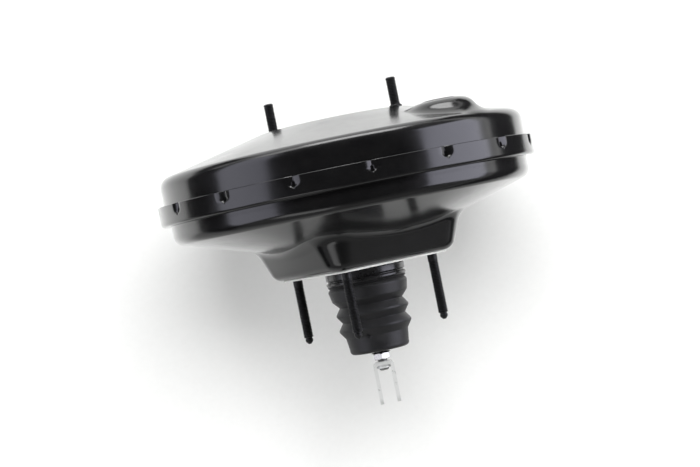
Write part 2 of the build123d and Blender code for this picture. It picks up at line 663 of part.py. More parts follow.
def make_rod_return_spring():
    high_y = POPPET_END_Y - RETAINER_T - 2 * SNUG
    return coil(ROD_SPRING_R, ROD_WIRE_R, SPRING_SEAT_Y + SNUG, high_y, ROD_TURNS)


# ---------------------------------------------------------------- air inlet
def make_air_filter():
    low_y = FILTER_END_GAP - TAIL_END
    return ring(FILTER_BORE_R, TAIL_BORE_R - SNUG, low_y, low_y + FILTER_T)


def make_silencer():
    low_y = FILTER_END_GAP - TAIL_END + FILTER_T + SNUG
    return ring(FILTER_BORE_R, TAIL_BORE_R - SNUG, low_y, low_y + SILENCER_T)


def make_dust_boot():
    """The folded rubber boot from the neck to the piston's tail."""
    half = BOOT_T / 2
    groove_y = -BOOT_COLLAR_LEN - BOOT_T
    shoulder_y = groove_y - 1.5 * BOOT_T
    end_y = half - BOOT_LEN
    points = [(BOOT_COLLAR_R - half, half - BOOT_COLLAR_LEN), (BOOT_GROOVE_R - half, groove_y),
              (BOOT_SHOULDER_R - half, shoulder_y),
              (BOOT_SHOULDER_END_R - half, shoulder_y - BOOT_SHOULDER_LEN),
              (BOOT_VALLEY_R - half, BOOT_FOLD_Y)]
    for fold in range(1, BOOT_FOLDS + 1):
        points.append((BOOT_CREST_R - half, BOOT_FOLD_Y - (fold - 0.5) * BOOT_PITCH))
        points.append((BOOT_VALLEY_R - half, BOOT_FOLD_Y - fold * BOOT_PITCH))
    points += [(BOOT_CUP_R - half, end_y + 2 * BOOT_T), (BOOT_CUP_R - half, end_y), (BOOT_HOLE_R, end_y)]
    radii = [BOOT_BEND_R] * (len(points) - 4) + [BOOT_T, BOOT_END_BEND_R]
    collar = ring(NECK_R + SNUG, BOOT_COLLAR_R, -BOOT_COLLAR_LEN, -BOOT_TOP_GAP)
    return sheet(points, radii, BOOT_T) + collar


# ---------------------------------------------------------------- input rod
def make_input_rod():
    end_y = FORK_Y - FORK_T - FORK_COLLAR_H - ROD_END_LEN
    neck_y = BALL_Y - INPUT_NECK_LEN
    points = [(0, BALL_Y), (INPUT_NECK_R, BALL_Y), (INPUT_NECK_R, neck_y), (INPUT_R, neck_y - FREE),
              (INPUT_R, end_y + STUD_CHAMFER), (INPUT_R - STUD_CHAMFER, end_y), (0, end_y)]
    return turned(points) + Pos(0, BALL_Y, 0) * Sphere(BALL_R)


def make_spring_seat():
    return ring(INPUT_R + SNUG, SPRING_SEAT_R, SPRING_SEAT_Y - SPRING_SEAT_T, SPRING_SEAT_Y)


def make_lock_nut():
    corner_r = NUT_AF / sqrt(3)
    low_y = NUT_Y - NUT_T
    prism = extrude(AXIS_PLANE * RegularPolygon(corner_r, 6), NUT_T)
    bevel = corner_r - NUT_AF / 2
    points = [(INPUT_R + SNUG, low_y), (NUT_AF / 2, low_y), (corner_r, low_y + bevel),
              (corner_r, NUT_Y - bevel), (NUT_AF / 2, NUT_Y), (INPUT_R + SNUG, NUT_Y)]
    return Pos(0, NUT_Y, 0) * prism & turned(points)


def make_clevis():
    """The bent fork for the pedal's pin, with a drawn collar for its thread."""
    arm = (FORK_GAP + FORK_T) / 2
    bridge = FORK_Y - FORK_T / 2
    corners = [(arm, FORK_END_Y), (arm, bridge), (-arm, bridge), (-arm, FORK_END_Y)]
    path = FilletPolyline(*corners, radius=FORK_BEND_R)
    fork = extrude(trace(path, FORK_T), FORK_DEPTH / 2, both=True)
    tips = fork.edges().filter_by(Axis.X).group_by(Axis.Y)[0]
    fork = fillet(tips, FORK_TIP_R)
    fork += ring(0, FORK_COLLAR_R, FORK_Y - FORK_T - FORK_COLLAR_H, FORK_Y - FORK_T / 2)
    fork -= ring(0, INPUT_R + SNUG, FORK_END_Y, FORK_Y + FORK_T)
    return fork - Pos(0, PIN_Y, 0) * Cylinder(FORK_PIN_R, 4 * arm, rotation=(0, 90, 0))


# ---------------------------------------------------------------- build
NODES = {
    "front_shell": make_front_shell,
    "rear_shell": make_rear_shell,
    "firewall_studs": make_firewall_studs,
    "rear_stud_plate": make_rear_stud_plate,
    "mounting_gasket": make_mounting_gasket,
    "master_cylinder_studs": make_master_cylinder_studs,
    "front_stud_plate": make_front_stud_plate,
    "vacuum_grommet": make_vacuum_grommet,
    "front_seal": make_front_seal,
    "neck_bush": make_neck_bush,
    "neck_seal": make_neck_seal,
    "stop_sleeve": make_stop_sleeve,
    "valve_body": make_valve_body,
    "diaphragm_plate": make_diaphragm_plate,
    "diaphragm": make_diaphragm,
    "hub_cap": make_hub_cap,
    "reaction_disc": make_reaction_disc,
    "output_rod": make_output_rod,
    "valve_plunger": make_valve_plunger,
    "stop_key": make_stop_key,
    "poppet_valve": make_poppet_valve,
    "valve_retainer": make_valve_retainer,
    "return_spring": make_return_spring,
    "poppet_spring": make_poppet_spring,
    "rod_return_spring": make_rod_return_spring,
    "air_filter": make_air_filter,
    "silencer": make_silencer,
    "dust_boot": make_dust_boot,
    "input_rod": make_input_rod,
    "spring_seat": make_spring_seat,
    "lock_nut": make_lock_nut,
    "clevis": make_clevis,
}

os.makedirs(OUT, exist_ok=True)
for name, make in NODES.items():
    shape = make()
    solids = shape if isinstance(shape, list) else [shape]
    export_step(Compound(children=solids, label=name), f"{OUT}/{name}.step")
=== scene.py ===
"""Looks of the vacuum brake booster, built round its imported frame."""

from math import atan2, cos, hypot, pi, radians, sin, sqrt, tan

import bpy
import numpy as np
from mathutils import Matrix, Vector


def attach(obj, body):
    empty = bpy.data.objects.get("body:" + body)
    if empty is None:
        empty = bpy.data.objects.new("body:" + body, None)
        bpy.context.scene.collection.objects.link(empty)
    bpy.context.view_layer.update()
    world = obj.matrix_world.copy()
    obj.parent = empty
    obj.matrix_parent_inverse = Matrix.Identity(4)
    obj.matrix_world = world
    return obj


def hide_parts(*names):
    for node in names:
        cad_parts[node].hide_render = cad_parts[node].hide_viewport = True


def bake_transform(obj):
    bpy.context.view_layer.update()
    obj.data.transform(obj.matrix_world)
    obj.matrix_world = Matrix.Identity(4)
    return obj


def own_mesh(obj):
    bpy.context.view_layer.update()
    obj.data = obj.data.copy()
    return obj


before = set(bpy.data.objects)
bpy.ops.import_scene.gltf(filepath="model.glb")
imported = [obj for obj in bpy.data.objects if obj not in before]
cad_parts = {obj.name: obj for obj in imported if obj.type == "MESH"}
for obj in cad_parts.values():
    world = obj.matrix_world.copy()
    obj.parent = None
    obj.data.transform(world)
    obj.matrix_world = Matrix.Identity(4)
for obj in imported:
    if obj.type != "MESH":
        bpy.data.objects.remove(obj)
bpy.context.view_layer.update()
MM = 0.001

# ---------------------------------------------------------------- sizes, in millimetres
SHEET = 1.5
CLOCK = 15.0
BODY_DEPTH = 122.8
WALL_R = 148.5
FRONT_WALL_R = 151.0
BAND_R = 156.0
BAND_Y = 63.5
BAND_FRONT_Y = 80.0
BAND_BEND_R = 2.95
FLARE_PITCH = radians(16.6)
FLARE_R = 97.0
FLARE_Y = 33.1
REAR_CORNER_R = 9.0
CONE_PITCH = radians(13.5)
FACE_R = 62.0
FACE_BLEND_R = 16.0
SHOULDER_R = 9.0
FLANGE_Y = 69.0
BEAD_R = 154.2
LANCE_COUNT = 16
LANCE_W = 15.5
LANCE_DEPTH = 2.4
LANCE_Y = 71.4          # rear edge of the crimps
LANCE_FOOT = 0.8        # how soon a crimp fades forward at its middle line
LANCE_FAN = 5.5         # how much later it does at its sides
LANCE_SLOT = 1.1        # extra depth of the open slots beside the middle line
PAD_W = 116.0
PAD_CORNER_R = 14.0
PAD_DRAFT = radians(22.0)
PAD_EDGE_R = 6.0
PAD_BLEND_R = 5.5
PAD_Y = 1.5
PAD_MEAN_R = 66.0
GASKET_W = 106.0
NECK_R = 30.0
NECK_LIP_R = 24.5
NECK_END_Y = -11.0
BOSS_X = 83.02
BOSS_Z = 72.17
BOSS_TOP_R = 23.0
BOSS_TOP_Y = 118.1
BOSS_DRAFT = radians(34.0)
BOSS_EDGE_R = 5.0
BOSS_BLEND_R = 4.9
PORT_R = 10.5
PILOT_R = 20.0
PILOT_BEND_R = 2.95
PILOT_END_Y = 112.8
STUD_R = 4.0
STUD_END_Y = -54.0
STUD_COLLAR_H = 2.4     # the front studs' collars, above the face
STUD_STANDS = 25.5      # the front studs' free length, above the face
THREAD_PITCH = 1.25
THREAD_DEPTH = 0.62
REAR_STUD_RADIUS = 58.3
FRONT_STUD_RADIUS = 53.2
AROUND = 960            # columns of a shell's mesh
BAND_COLUMNS = 1920     # columns of the crimp band's mesh, 120 for each crimp
ROD_COLUMNS = 48        # columns of a stud's or the rod's mesh
SOFT_COLUMNS = 240      # columns of the boot's and the diaphragm's meshes


# ---------------------------------------------------------------- mesh helpers
def ring(columns=AROUND):
    """The angles of a ring's columns."""
    return np.arange(columns) * 2 * pi / columns


def turned(radius, height, angle):
    """Rows of rings about the booster's axis, from radii, heights and angles that fit one grid."""
    radius, height, angle = np.broadcast_arrays(radius, height, angle)
    return np.stack([radius * np.cos(angle), height, radius * np.sin(angle)], axis=2)


def grid_faces(rows, columns, close_rows=False, flip=False):
    """Quads of a grid whose columns run all the way round."""
    row = np.arange(rows if close_rows else rows - 1)
    column = np.arange(columns)
    a = (row[:, None] * columns + column[None, :]).ravel()
    b = (row[:, None] * columns + (column[None, :] + 1) % columns).ravel()
    up = ((row + 1) % rows)[:, None] * columns
    c = (up + (column[None, :] + 1) % columns).ravel()
    d = (up + column[None, :]).ravel()
    quads = np.stack([a, b, c, d], axis=1)
    return quads[:, ::-1] if flip else quads


def tube_faces(rows, columns, flip=False):
    """Quads of a grid that runs all the way round, with a cap at each end."""
    first = list(range(columns))[::-1]
    last = [(rows - 1) * columns + index for index in range(columns)]
    faces = grid_faces(rows, columns).tolist() + [first, last]
    return [face[::-1] for face in faces] if flip else faces


def mesh_piece(name, verts_mm, faces, finish, sharp=35.0):
    """A piece from corners in millimetres and faces, shaded smooth up to an angle."""
    mesh = bpy.data.meshes.new(name)
    mesh.from_pydata((np.asarray(verts_mm) * MM).tolist(), [], [list(map(int, face)) for face in faces])
    mesh.materials.append(finish)
    mesh.polygons.foreach_set("use_smooth", [True] * len(mesh.polygons))
    mesh.set_sharp_from_angle(angle=radians(sharp))
    mesh.update()
    obj = bpy.data.objects.new(name, mesh)
    bpy.context.scene.collection.objects.link(obj)
    return obj


def fit(obj, body, slot, *nodes):
    """The piece rides on its body and stands for its CAD nodes; the slot is not used."""
    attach(obj, body)
    if nodes:
        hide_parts(*nodes)
    return obj


def rounded(points, radii, steps=8):
    """A polyline whose inner corners are turned into arcs."""
    out = [points[0]]
    for index in range(1, len(points) - 1):
        before, corner, after = (Vector(points[index + shift]) for shift in (-1, 0, 1))
        radius = radii[index - 1]
        back, ahead = (before - corner).normalized(), (after - corner).normalized()
        half = back.angle(ahead) / 2
        if radius <= 0 or abs(half - pi / 2) < 1e-4:
            out.append(tuple(corner))
            continue
        reach = radius / tan(half)
        centre = corner + (back + ahead).normalized() * (radius / sin(half))
        first = corner + back * reach - centre
        last = corner + ahead * reach - centre
        turn = atan2(first.x * last.y - first.y * last.x, first.dot(last))
        for step in range(steps + 1):
            angle = turn * step / steps
            out.append((centre.x + first.x * cos(angle) - first.y * sin(angle),
                        centre.y + first.x * sin(angle) + first.y * cos(angle)))
    out.append(points[-1])
    return out


def refined(points, step):
    """The polyline with its long runs divided."""
    out = [points[0]]
    for start, end in zip(points, points[1:]):
        count = max(1, int(hypot(end[0] - start[0], end[1] - start[1]) / step))
        for index in range(1, count + 1):
            part = index / count
            out.append((start[0] + (end[0] - start[0]) * part, start[1] + (end[1] - start[1]) * part))
    return out


def sheet_loop(middle, thickness):
    """The closed outline of a sheet from its middle line, as (radius, y)."""
    line = np.array(middle)
    ahead = np.gradient(line, axis=0)
    ahead /= np.linalg.norm(ahead, axis=1)[:, None]
    side = np.stack([ahead[:, 1], -ahead[:, 0]], axis=1) * thickness / 2
    return np.vstack([line + side, (line - side)[::-1]])


def plain_rows(points, columns=ROD_COLUMNS):
    """Rows of a turned surface from (radius, y) points."""
    points = np.array(points)
    return turned(points[:, :1], points[:, 1:], ring(columns))


def lathe(name, loop, finish, columns):
    """A turned piece about the booster's axis from a closed loop of (radius, y) points."""
    verts = plain_rows(loop, columns).reshape(-1, 3)
    return mesh_piece(name, verts, grid_faces(len(loop), columns, close_rows=True), finish)


def round_union(a, b, radius):
    """Joined forms with a round inside corner; a and b are negative inside."""
    depth = np.hypot(np.maximum(radius - a, 0), np.maximum(radius - b, 0))
    return np.maximum(radius, np.minimum(a, b)) - depth


def round_meet(a, b, radius):
    """The common part of two forms with a round edge."""
    depth = np.hypot(np.maximum(radius + a, 0), np.maximum(radius + b, 0))
    return np.minimum(-radius, np.maximum(a, b)) + depth


def surface_height(form, low, high):
    """Where a form changes sign along the axis, by halving, for each point."""
    low_side = form(low) < 0
    for _ in range(34):
        middle = (low + high) / 2
        same = (form(middle) < 0) == low_side
        low = np.where(same, middle, low)
        high = np.where(same, high, middle)
    return (low + high) / 2


def fade(value, start, end):
    """1 up to start, 0 from end, smooth between."""
    part = np.clip((value - start) / (end - start), 0, 1)
    return 1 - part * part * (3 - 2 * part)


def polar(radius, angle):
    """X and Z of a point from its radius and its angle in degrees."""
    return radius * cos(radians(angle)), radius * sin(radians(angle))


# ---------------------------------------------------------------- shader helpers
class Recipe:
    """A node tree that is written down one node at a time."""

    def __init__(self, tree):
        self.tree = tree
        tree.nodes.clear()

    def new(self, kind):
        return self.tree.nodes.new("ShaderNode" + kind)

    def put(self, socket, value):
        if isinstance(value, bpy.types.NodeSocket):
            self.tree.links.new(value, socket)
        elif value is not None:
            socket.default_value = value

    def math(self, operation, first, second=None, clamp=False):
        node = self.new("Math")
        node.operation = operation
        node.use_clamp = clamp
        self.put(node.inputs[0], first)
        self.put(node.inputs[1], second)
        return node.outputs[0]

    def span(self, value, low, high, to_low=0.0, to_high=1.0):
        """The value mapped from one range to another, and held inside it."""
        node = self.new("MapRange")
        for index, given in enumerate((value, low, high, to_low, to_high)):
            self.put(node.inputs[index], given)
        return node.outputs[0]

    def noise(self, place, scale, detail=2.0, rough=0.5):
        node = self.new("TexNoise")
        for key, value in (("Vector", place), ("Scale", scale), ("Detail", detail), ("Roughness", rough)):
            self.put(node.inputs[key], value)
        return node.outputs["Fac"]

    def blend(self, part, first, second):
        node = self.new("Mix")
        node.data_type = "RGBA"
        self.put(node.inputs["Factor"], part)
        self.put(node.inputs[6], first)
        self.put(node.inputs[7], second)
        return node.outputs[2]

    def place(self):
        return self.new("TexCoord").outputs["Object"]

    def split(self, vector):
        """A vector's own X, Y and Z."""
        node = self.new("SeparateXYZ")
        self.put(node.inputs[0], vector)
        return node.outputs


def effect(name, inputs, outputs):
    """An empty shader node group with its sockets, as (recipe, inputs, outputs)."""
    tree = bpy.data.node_groups.new(name, "ShaderNodeTree")
    for label, value in inputs.items():
        socket = tree.interface.new_socket(name=label, in_out="INPUT", socket_type="NodeSocketFloat")
        socket.default_value = value
    for label in outputs:
        tree.interface.new_socket(name=label, in_out="OUTPUT", socket_type="NodeSocketFloat")
    recipe = Recipe(tree)
    return recipe, tree.nodes.new("NodeGroupInput").outputs, tree.nodes.new("NodeGroupOutput").inputs


def make_smudges():
    """Handled places and drying marks: a roughness that wanders between two values."""
    recipe, given, result = effect("Smudges", {"Size": 0.03, "Low": 0.1, "High": 0.3}, ["Roughness"])
    place = recipe.place()
    scale = recipe.math("DIVIDE", 1.0, given["Size"])
    broad = recipe.noise(place, scale, 5.0, 0.62)
    fine = recipe.noise(place, recipe.math("MULTIPLY", scale, 9.0), 3.0, 0.6)
    mixed = recipe.math("ADD", recipe.math("MULTIPLY", broad, 0.75), recipe.math("MULTIPLY", fine, 0.25))
    shade = recipe.span(mixed, 0.36, 0.66)
    reach = recipe.math("SUBTRACT", given["High"], given["Low"])
    recipe.put(result["Roughness"], recipe.math("ADD", given["Low"], recipe.math("MULTIPLY", shade, reach)))
    return recipe.tree


def make_skin():
    """The peel of sprayed paint, or the mould's grain, over a slow waviness of the sheet."""
    recipe, given, result = effect("Skin", {"Peel Size": 0.0012, "Peel": 0.3, "Wave Size": 0.05, "Wave": 0.6},
                                   ["Height"])
    place = recipe.place()
    peel = recipe.noise(place, recipe.math("DIVIDE", 1.0, given["Peel Size"]), 2.0, 0.45)
    wave = recipe.noise(place, recipe.math("DIVIDE", 1.0, given["Wave Size"]), 1.0, 0.4)
    total = recipe.math("ADD", recipe.math("MULTIPLY", peel, given["Peel"]),
                        recipe.math("MULTIPLY", wave, given["Wave"]))
    recipe.put(result["Height"], total)
    return recipe.tree


def make_rub():
    """Worn edges and corners, broken up by noise."""
    recipe, given, result = effect("Rubbed Edges", {"Amount": 0.5, "Start": 0.53}, ["Mask"])
    point = recipe.new("NewGeometry").outputs["Pointiness"]
    edge = recipe.span(point, given["Start"], recipe.math("ADD", given["Start"], 0.06))
    broken = recipe.span(recipe.noise(recipe.place(), 420.0, 4.0, 0.7), 0.42, 0.6)
    mask = recipe.math("MULTIPLY", recipe.math("MULTIPLY", edge, broken), given["Amount"], clamp=True)
    recipe.put(result["Mask"], mask)
    return recipe.tree


def make_dust():
    """Thin dust on what faces up, thicker where noise lets it gather."""
    recipe, given, result = effect("Settled Dust", {"Amount": 0.1, "Size": 0.012}, ["Mask"])
    normal = recipe.new("NewGeometry").outputs["Normal"]
    facing = recipe.span(recipe.split(normal)["Z"], 0.1, 0.95)
    place = recipe.place()
    cloud = recipe.span(recipe.noise(place, recipe.math("DIVIDE", 1.0, given["Size"]), 5.0, 0.65), 0.4, 0.7)
    speck = recipe.span(recipe.noise(place, 2600.0, 1.0, 0.5), 0.68, 0.74)
    both = recipe.math("ADD", recipe.math("MULTIPLY", cloud, 0.6), speck)
    mask = recipe.math("MULTIPLY", recipe.math("MULTIPLY", both, facing), given["Amount"], clamp=True)
    recipe.put(result["Mask"], mask)
    return recipe.tree


def make_scratches():
    """Fine crossing scratches as a height and a mask."""
    recipe, given, result = effect("Fine Scratches", {"Spacing": 0.002, "Amount": 0.5}, ["Mask"])
    place = recipe.place()
    lines = []
    for turn, stretch in ((0.4, 0.04), (1.9, 0.06)):
        mapping = recipe.new("Mapping")
        recipe.put(mapping.inputs["Vector"], place)
        mapping.inputs["Rotation"].default_value = (turn, turn * 0.7, turn * 1.3)
        mapping.inputs["Scale"].default_value = (1.0, stretch, 1.0)
        grain = recipe.noise(mapping.outputs[0], recipe.math("DIVIDE", 1.0, given["Spacing"]), 2.0, 0.6)
        lines.append(recipe.span(grain, 0.64, 0.7))
    both = recipe.math("MAXIMUM", lines[0], lines[1])
    recipe.put(result["Mask"], recipe.math("MULTIPLY", both, given["Amount"], clamp=True))
    return recipe.tree


SMUDGES = make_smudges()
SKIN = make_skin()
RUB = make_rub()
DUST = make_dust()
SCRATCHES = make_scratches()


def use(recipe, group, output, **values):
    """A placed effect with its own values, as one of its outputs."""
    node = recipe.new("Group")
    node.node_tree = group
    for key, value in values.items():
        recipe.put(node.inputs[key.replace("_", " ")], value)
    return node.outputs[output]


def new_material(name):
    """An empty material, its recipe and the socket for its surface."""
    material = bpy.data.materials.new(name)
    material.use_nodes = True
    recipe = Recipe(material.node_tree)
    return material, recipe, recipe.new("OutputMaterial").inputs["Surface"]


def finish_of(name, colour, worn, low, high, smudge_size, *, peel, wave, scratch, rub, dust, depth, metal=0.0,
              ior=1.5, spacing=0.002, rub_start=0.53, dust_colour=(0.30, 0.29, 0.27, 1), mottle=1.35):
    """One finish: colour with wear and dust, wandering roughness, skin and scratches as bump.

    peel and wave are each a size in metres and a share of the bump, whose depth is in metres too.
    """
    material, recipe, surface = new_material(name)
    shader = recipe.new("BsdfPrincipled")
    recipe.put(surface, shader.outputs[0])
    rubbed = use(recipe, RUB, "Mask", Amount=rub, Start=rub_start)
    dusty = use(recipe, DUST, "Mask", Amount=dust)
    scratched = use(recipe, SCRATCHES, "Mask", Spacing=spacing, Amount=scratch)
    rough = use(recipe, SMUDGES, "Roughness", Size=smudge_size, Low=low, High=high)
    cloud = recipe.span(recipe.noise(recipe.place(), 1.0 / smudge_size, 4.0, 0.6), 0.3, 0.7)
    shade = tuple(min(1.0, part * mottle) for part in colour[:3]) + (1,)
    base = recipe.blend(cloud, colour, shade)
    base = recipe.blend(rubbed, base, worn)
    base = recipe.blend(dusty, base, dust_colour)
    recipe.put(shader.inputs["Base Color"], base)
    rough = recipe.math("ADD", rough, recipe.math("MULTIPLY", dusty, 0.6))
    rough = recipe.math("ADD", rough, recipe.math("MULTIPLY", scratched, 0.12), clamp=True)
    recipe.put(shader.inputs["Roughness"], rough)
    shader.inputs["Metallic"].default_value = metal
    shader.inputs["IOR"].default_value = ior
    height = use(recipe, SKIN, "Height", Peel_Size=peel[0], Peel=peel[1], Wave_Size=wave[0], Wave=wave[1])
    height = recipe.math("SUBTRACT", height, recipe.math("MULTIPLY", scratched, 0.12))
    bump = recipe.new("Bump")
    bump.inputs["Distance"].default_value = depth
    bump.inputs["Strength"].default_value = 1.0
    recipe.put(bump.inputs["Height"], height)
    recipe.put(shader.inputs["Normal"], bump.outputs[0])
    return material


GLOSS_BLACK = finish_of(
    "gloss_black_paint", (0.0035, 0.0035, 0.0038, 1), (0.12, 0.12, 0.12, 1), 0.14, 0.22, 0.05,
    peel=(0.0011, 0.05), wave=(0.045, 1.6), scratch=0.12, rub=0.10,
    rub_start=0.56, dust=0.012, depth=0.00010, ior=1.52)
BLACK_STUD = finish_of(
    "black_stud_coating", (0.004, 0.004, 0.0042, 1), (0.09, 0.088, 0.085, 1), 0.38, 0.52, 0.004,
    peel=(0.0004, 0.5), wave=(0.004, 0.3), scratch=0.3, rub=0.35,
    rub_start=0.55, dust=0.015, depth=0.00002, ior=1.38)
BOOT_RUBBER = finish_of(
    "boot_rubber", (0.0085, 0.0085, 0.0092, 1), (0.025, 0.025, 0.026, 1), 0.42, 0.56, 0.012,
    peel=(0.0006, 0.7), wave=(0.009, 0.8), scratch=0.15, rub=0.15,
    dust=0.03, depth=0.00006, ior=1.45)
COLLAR_RUBBER = finish_of(
    "collar_rubber", (0.007, 0.007, 0.0076, 1), (0.03, 0.03, 0.031, 1), 0.20, 0.34, 0.010,
    peel=(0.0007, 0.4), wave=(0.007, 1.0), scratch=0.15, rub=0.15,
    dust=0.04, depth=0.00010, ior=1.5)
SEAL_RUBBER = finish_of(
    "seal_rubber", (0.018, 0.018, 0.019, 1), (0.04, 0.04, 0.04, 1), 0.42, 0.58, 0.006,
    peel=(0.0005, 0.5), wave=(0.006, 0.4), scratch=0.1, rub=0.3,
    dust=0.06, depth=0.00004, ior=1.52)
GASKET_WHITE = finish_of(
    "gasket_white", (0.90, 0.905, 0.89, 1), (0.95, 0.95, 0.94, 1), 0.62, 0.82, 0.006,
    peel=(0.0005, 1.0), wave=(0.004, 0.6), scratch=0.1, rub=0.2,
    dust=0.03, dust_colour=(0.62, 0.60, 0.56, 1), depth=0.00008, mottle=1.05)
PLATE_STEEL = finish_of(
    "plate_steel", (0.50, 0.51, 0.52, 1), (0.72, 0.72, 0.73, 1), 0.26, 0.42, 0.01, metal=1.0, mottle=1.15,
    peel=(0.0008, 0.4), wave=(0.012, 0.4), scratch=0.7, rub=0.4,
    dust=0.05, depth=0.00003)
WIRE_STEEL = finish_of(
    "wire_steel", (0.34, 0.35, 0.36, 1), (0.6, 0.6, 0.61, 1), 0.24, 0.40, 0.004, metal=1.0,
    peel=(0.0005, 0.4), wave=(0.005, 0.3), scratch=0.6, spacing=0.001,
    rub=0.3, dust=0.04, depth=0.00002)
BROWN_MOULDING = finish_of(
    "brown_moulding", (0.11, 0.085, 0.065, 1), (0.2, 0.17, 0.14, 1), 0.34, 0.5, 0.008,
    peel=(0.0006, 0.6), wave=(0.01, 0.4), scratch=0.3, rub=0.4,
    dust=0.08, depth=0.00004)
PALE_MOULDING = finish_of(
    "pale_moulding", (0.70, 0.69, 0.64, 1), (0.82, 0.81, 0.77, 1), 0.34, 0.5, 0.008, mottle=1.08,
    peel=(0.0006, 0.5), wave=(0.01, 0.4), scratch=0.3, rub=0.3,
    dust=0.06, depth=0.00004)
PLUNGER_ALLOY = finish_of(
    "plunger_alloy", (0.74, 0.75, 0.76, 1), (0.86, 0.86, 0.87, 1), 0.2, 0.34, 0.006, metal=1.0, mottle=1.08,
    peel=(0.0005, 0.4), wave=(0.006, 0.3), scratch=0.6, rub=0.3,
    dust=0.03, depth=0.00002)
GREY_FOAM = finish_of(
    "grey_foam", (0.15, 0.15, 0.14, 1), (0.24, 0.24, 0.22, 1), 0.8, 0.95, 0.005,
    peel=(0.0011, 1.6), wave=(0.004, 0.8), scratch=0.0, rub=0.3,
    dust=0.2, depth=0.0003)
BRIGHT_ZINC = finish_of(
    "bright_zinc", (0.80, 0.81, 0.80, 1), (0.84, 0.84, 0.83, 1), 0.26, 0.38, 0.006, metal=0.4, mottle=1.04,
    peel=(0.0006, 0.2), wave=(0.007, 0.3), scratch=0.15, spacing=0.0012,
    rub=0.08, dust=0.015, depth=0.00001)
# The lock nut's zinc is the bright zinc darkened: painted shade that holds the nut down under the front lamp.
NUT_ZINC_PAINTED_SHADE = finish_of(
    "nut_zinc_painted_shade", (0.40, 0.395, 0.37, 1), (0.62, 0.62, 0.60, 1), 0.20, 0.32, 0.005, metal=0.8, mottle=1.12,
    peel=(0.0006, 0.2), wave=(0.006, 0.5), scratch=0.3, spacing=0.0012,
    rub=0.3, dust=0.02, depth=0.00002)
# The zinc rod gets a dark finish: painted shade for the gap between the lock nut and the fork, where its
# thread shows.
DARK_ROD_PAINTED_SHADE = finish_of(
    "dark_rod_painted_shade", (0.26, 0.26, 0.255, 1), (0.42, 0.42, 0.41, 1), 0.28, 0.42, 0.005, metal=0.8, mottle=1.2,
    peel=(0.0006, 0.3), wave=(0.006, 0.4), scratch=0.3, spacing=0.0012,
    rub=0.3, dust=0.02, depth=0.00002)

FINISH_OF_SLOT = {
    "black_paint": GLOSS_BLACK, "black_fastener": BLACK_STUD, "white_gasket": GASKET_WHITE,
    "black_rubber": SEAL_RUBBER, "plain_steel": PLATE_STEEL, "spring_steel": WIRE_STEEL,
    "moulded_plastic": BROWN_MOULDING, "pale_plastic": PALE_MOULDING, "aluminium": PLUNGER_ALLOY,
    "filter_foam": GREY_FOAM, "bright_zinc": BRIGHT_ZINC,
}
SLOT_OF_NODE = {
    "front_shell": "black_paint", "rear_shell": "black_paint", "firewall_studs": "black_fastener",
    "master_cylinder_studs": "black_fastener", "mounting_gasket": "white_gasket",
    "vacuum_grommet": "black_rubber", "front_seal": "black_rubber", "neck_seal": "black_rubber",
    "diaphragm": "black_rubber", "poppet_valve": "black_rubber", "reaction_disc": "black_rubber",
    "dust_boot": "black_rubber", "rear_stud_plate": "plain_steel", "front_stud_plate": "plain_steel",
    "stop_sleeve": "plain_steel", "diaphragm_plate": "plain_steel", "hub_cap": "plain_steel",
    "output_rod": "plain_steel", "stop_key": "plain_steel", "return_spring": "spring_steel",
    "poppet_spring": "spring_steel", "rod_return_spring": "spring_steel", "valve_body": "moulded_plastic",
    "neck_bush": "pale_plastic", "valve_retainer": "pale_plastic", "valve_plunger": "aluminium",
    "air_filter": "filter_foam", "silencer": "filter_foam", "input_rod": "bright_zinc",
    "spring_seat": "bright_zinc", "lock_nut": "bright_zinc", "clevis": "bright_zinc",
}
for node_name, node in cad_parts.items():
    node.data.materials.clear()
    node.data.materials.append(FINISH_OF_SLOT[SLOT_OF_NODE[node_name]])


# ---------------------------------------------------------------- shells
def cone_height(radius):
    """Outside of the front cone's straight line."""
    return BODY_DEPTH - (radius - FACE_R) * tan(CONE_PITCH)


def flare_height(radius):
    """Outside of the rear flare's straight line."""
    return FLARE_Y + (radius - FLARE_R) * tan(FLARE_PITCH)


def boss_form(x, y, z):
    """The vacuum port's boss, negative inside."""
    reach = np.hypot(x - BOSS_X, z - BOSS_Z)
    side = (reach - BOSS_TOP_R - (BOSS_TOP_Y - y) * tan(BOSS_DRAFT)) * cos(BOSS_DRAFT)
    return round_meet(side, y - BOSS_TOP_Y, BOSS_EDGE_R)


def pad_distance(x, z, width=PAD_W):
    """Signed distance in the firewall's plane from the pad's outline, or a narrower square's."""
    turn = radians(CLOCK + 45)
    across = np.abs(x * cos(turn) + z * sin(turn))
    along = np.abs(z * cos(turn) - x * sin(turn))
    half = width / 2 - PAD_CORNER_R
    out_x, out_z = np.maximum(across - half, 0), np.maximum(along - half, 0)
    inside = np.minimum(np.maximum(across - half, along - half), 0)
    return np.hypot(out_x, out_z) + inside - PAD_CORNER_R


def pad_reach(angle, width=PAD_W):
    """Radius of the square outline at each angle, so that rows of a mesh can follow it."""
    def form(radius):
        return pad_distance(radius * np.cos(angle), radius * np.sin(angle), width)

    return surface_height(form, np.full_like(angle, 40.0), np.full_like(angle, 100.0))


def pad_form(x, y, z):
    """The pad that meets the firewall, negative inside."""
    side = (pad_distance(x, z) - (y - PAD_Y) * tan(PAD_DRAFT)) * cos(PAD_DRAFT)
    return round_meet(side, PAD_Y - y, PAD_EDGE_R)


def thicken(obj):
    """Gives a shell's skin its sheet's thickness, inwards."""
    modifier = obj.modifiers.new("sheet", "SOLIDIFY")
    modifier.thickness = SHEET * MM
    modifier.offset = -1.0


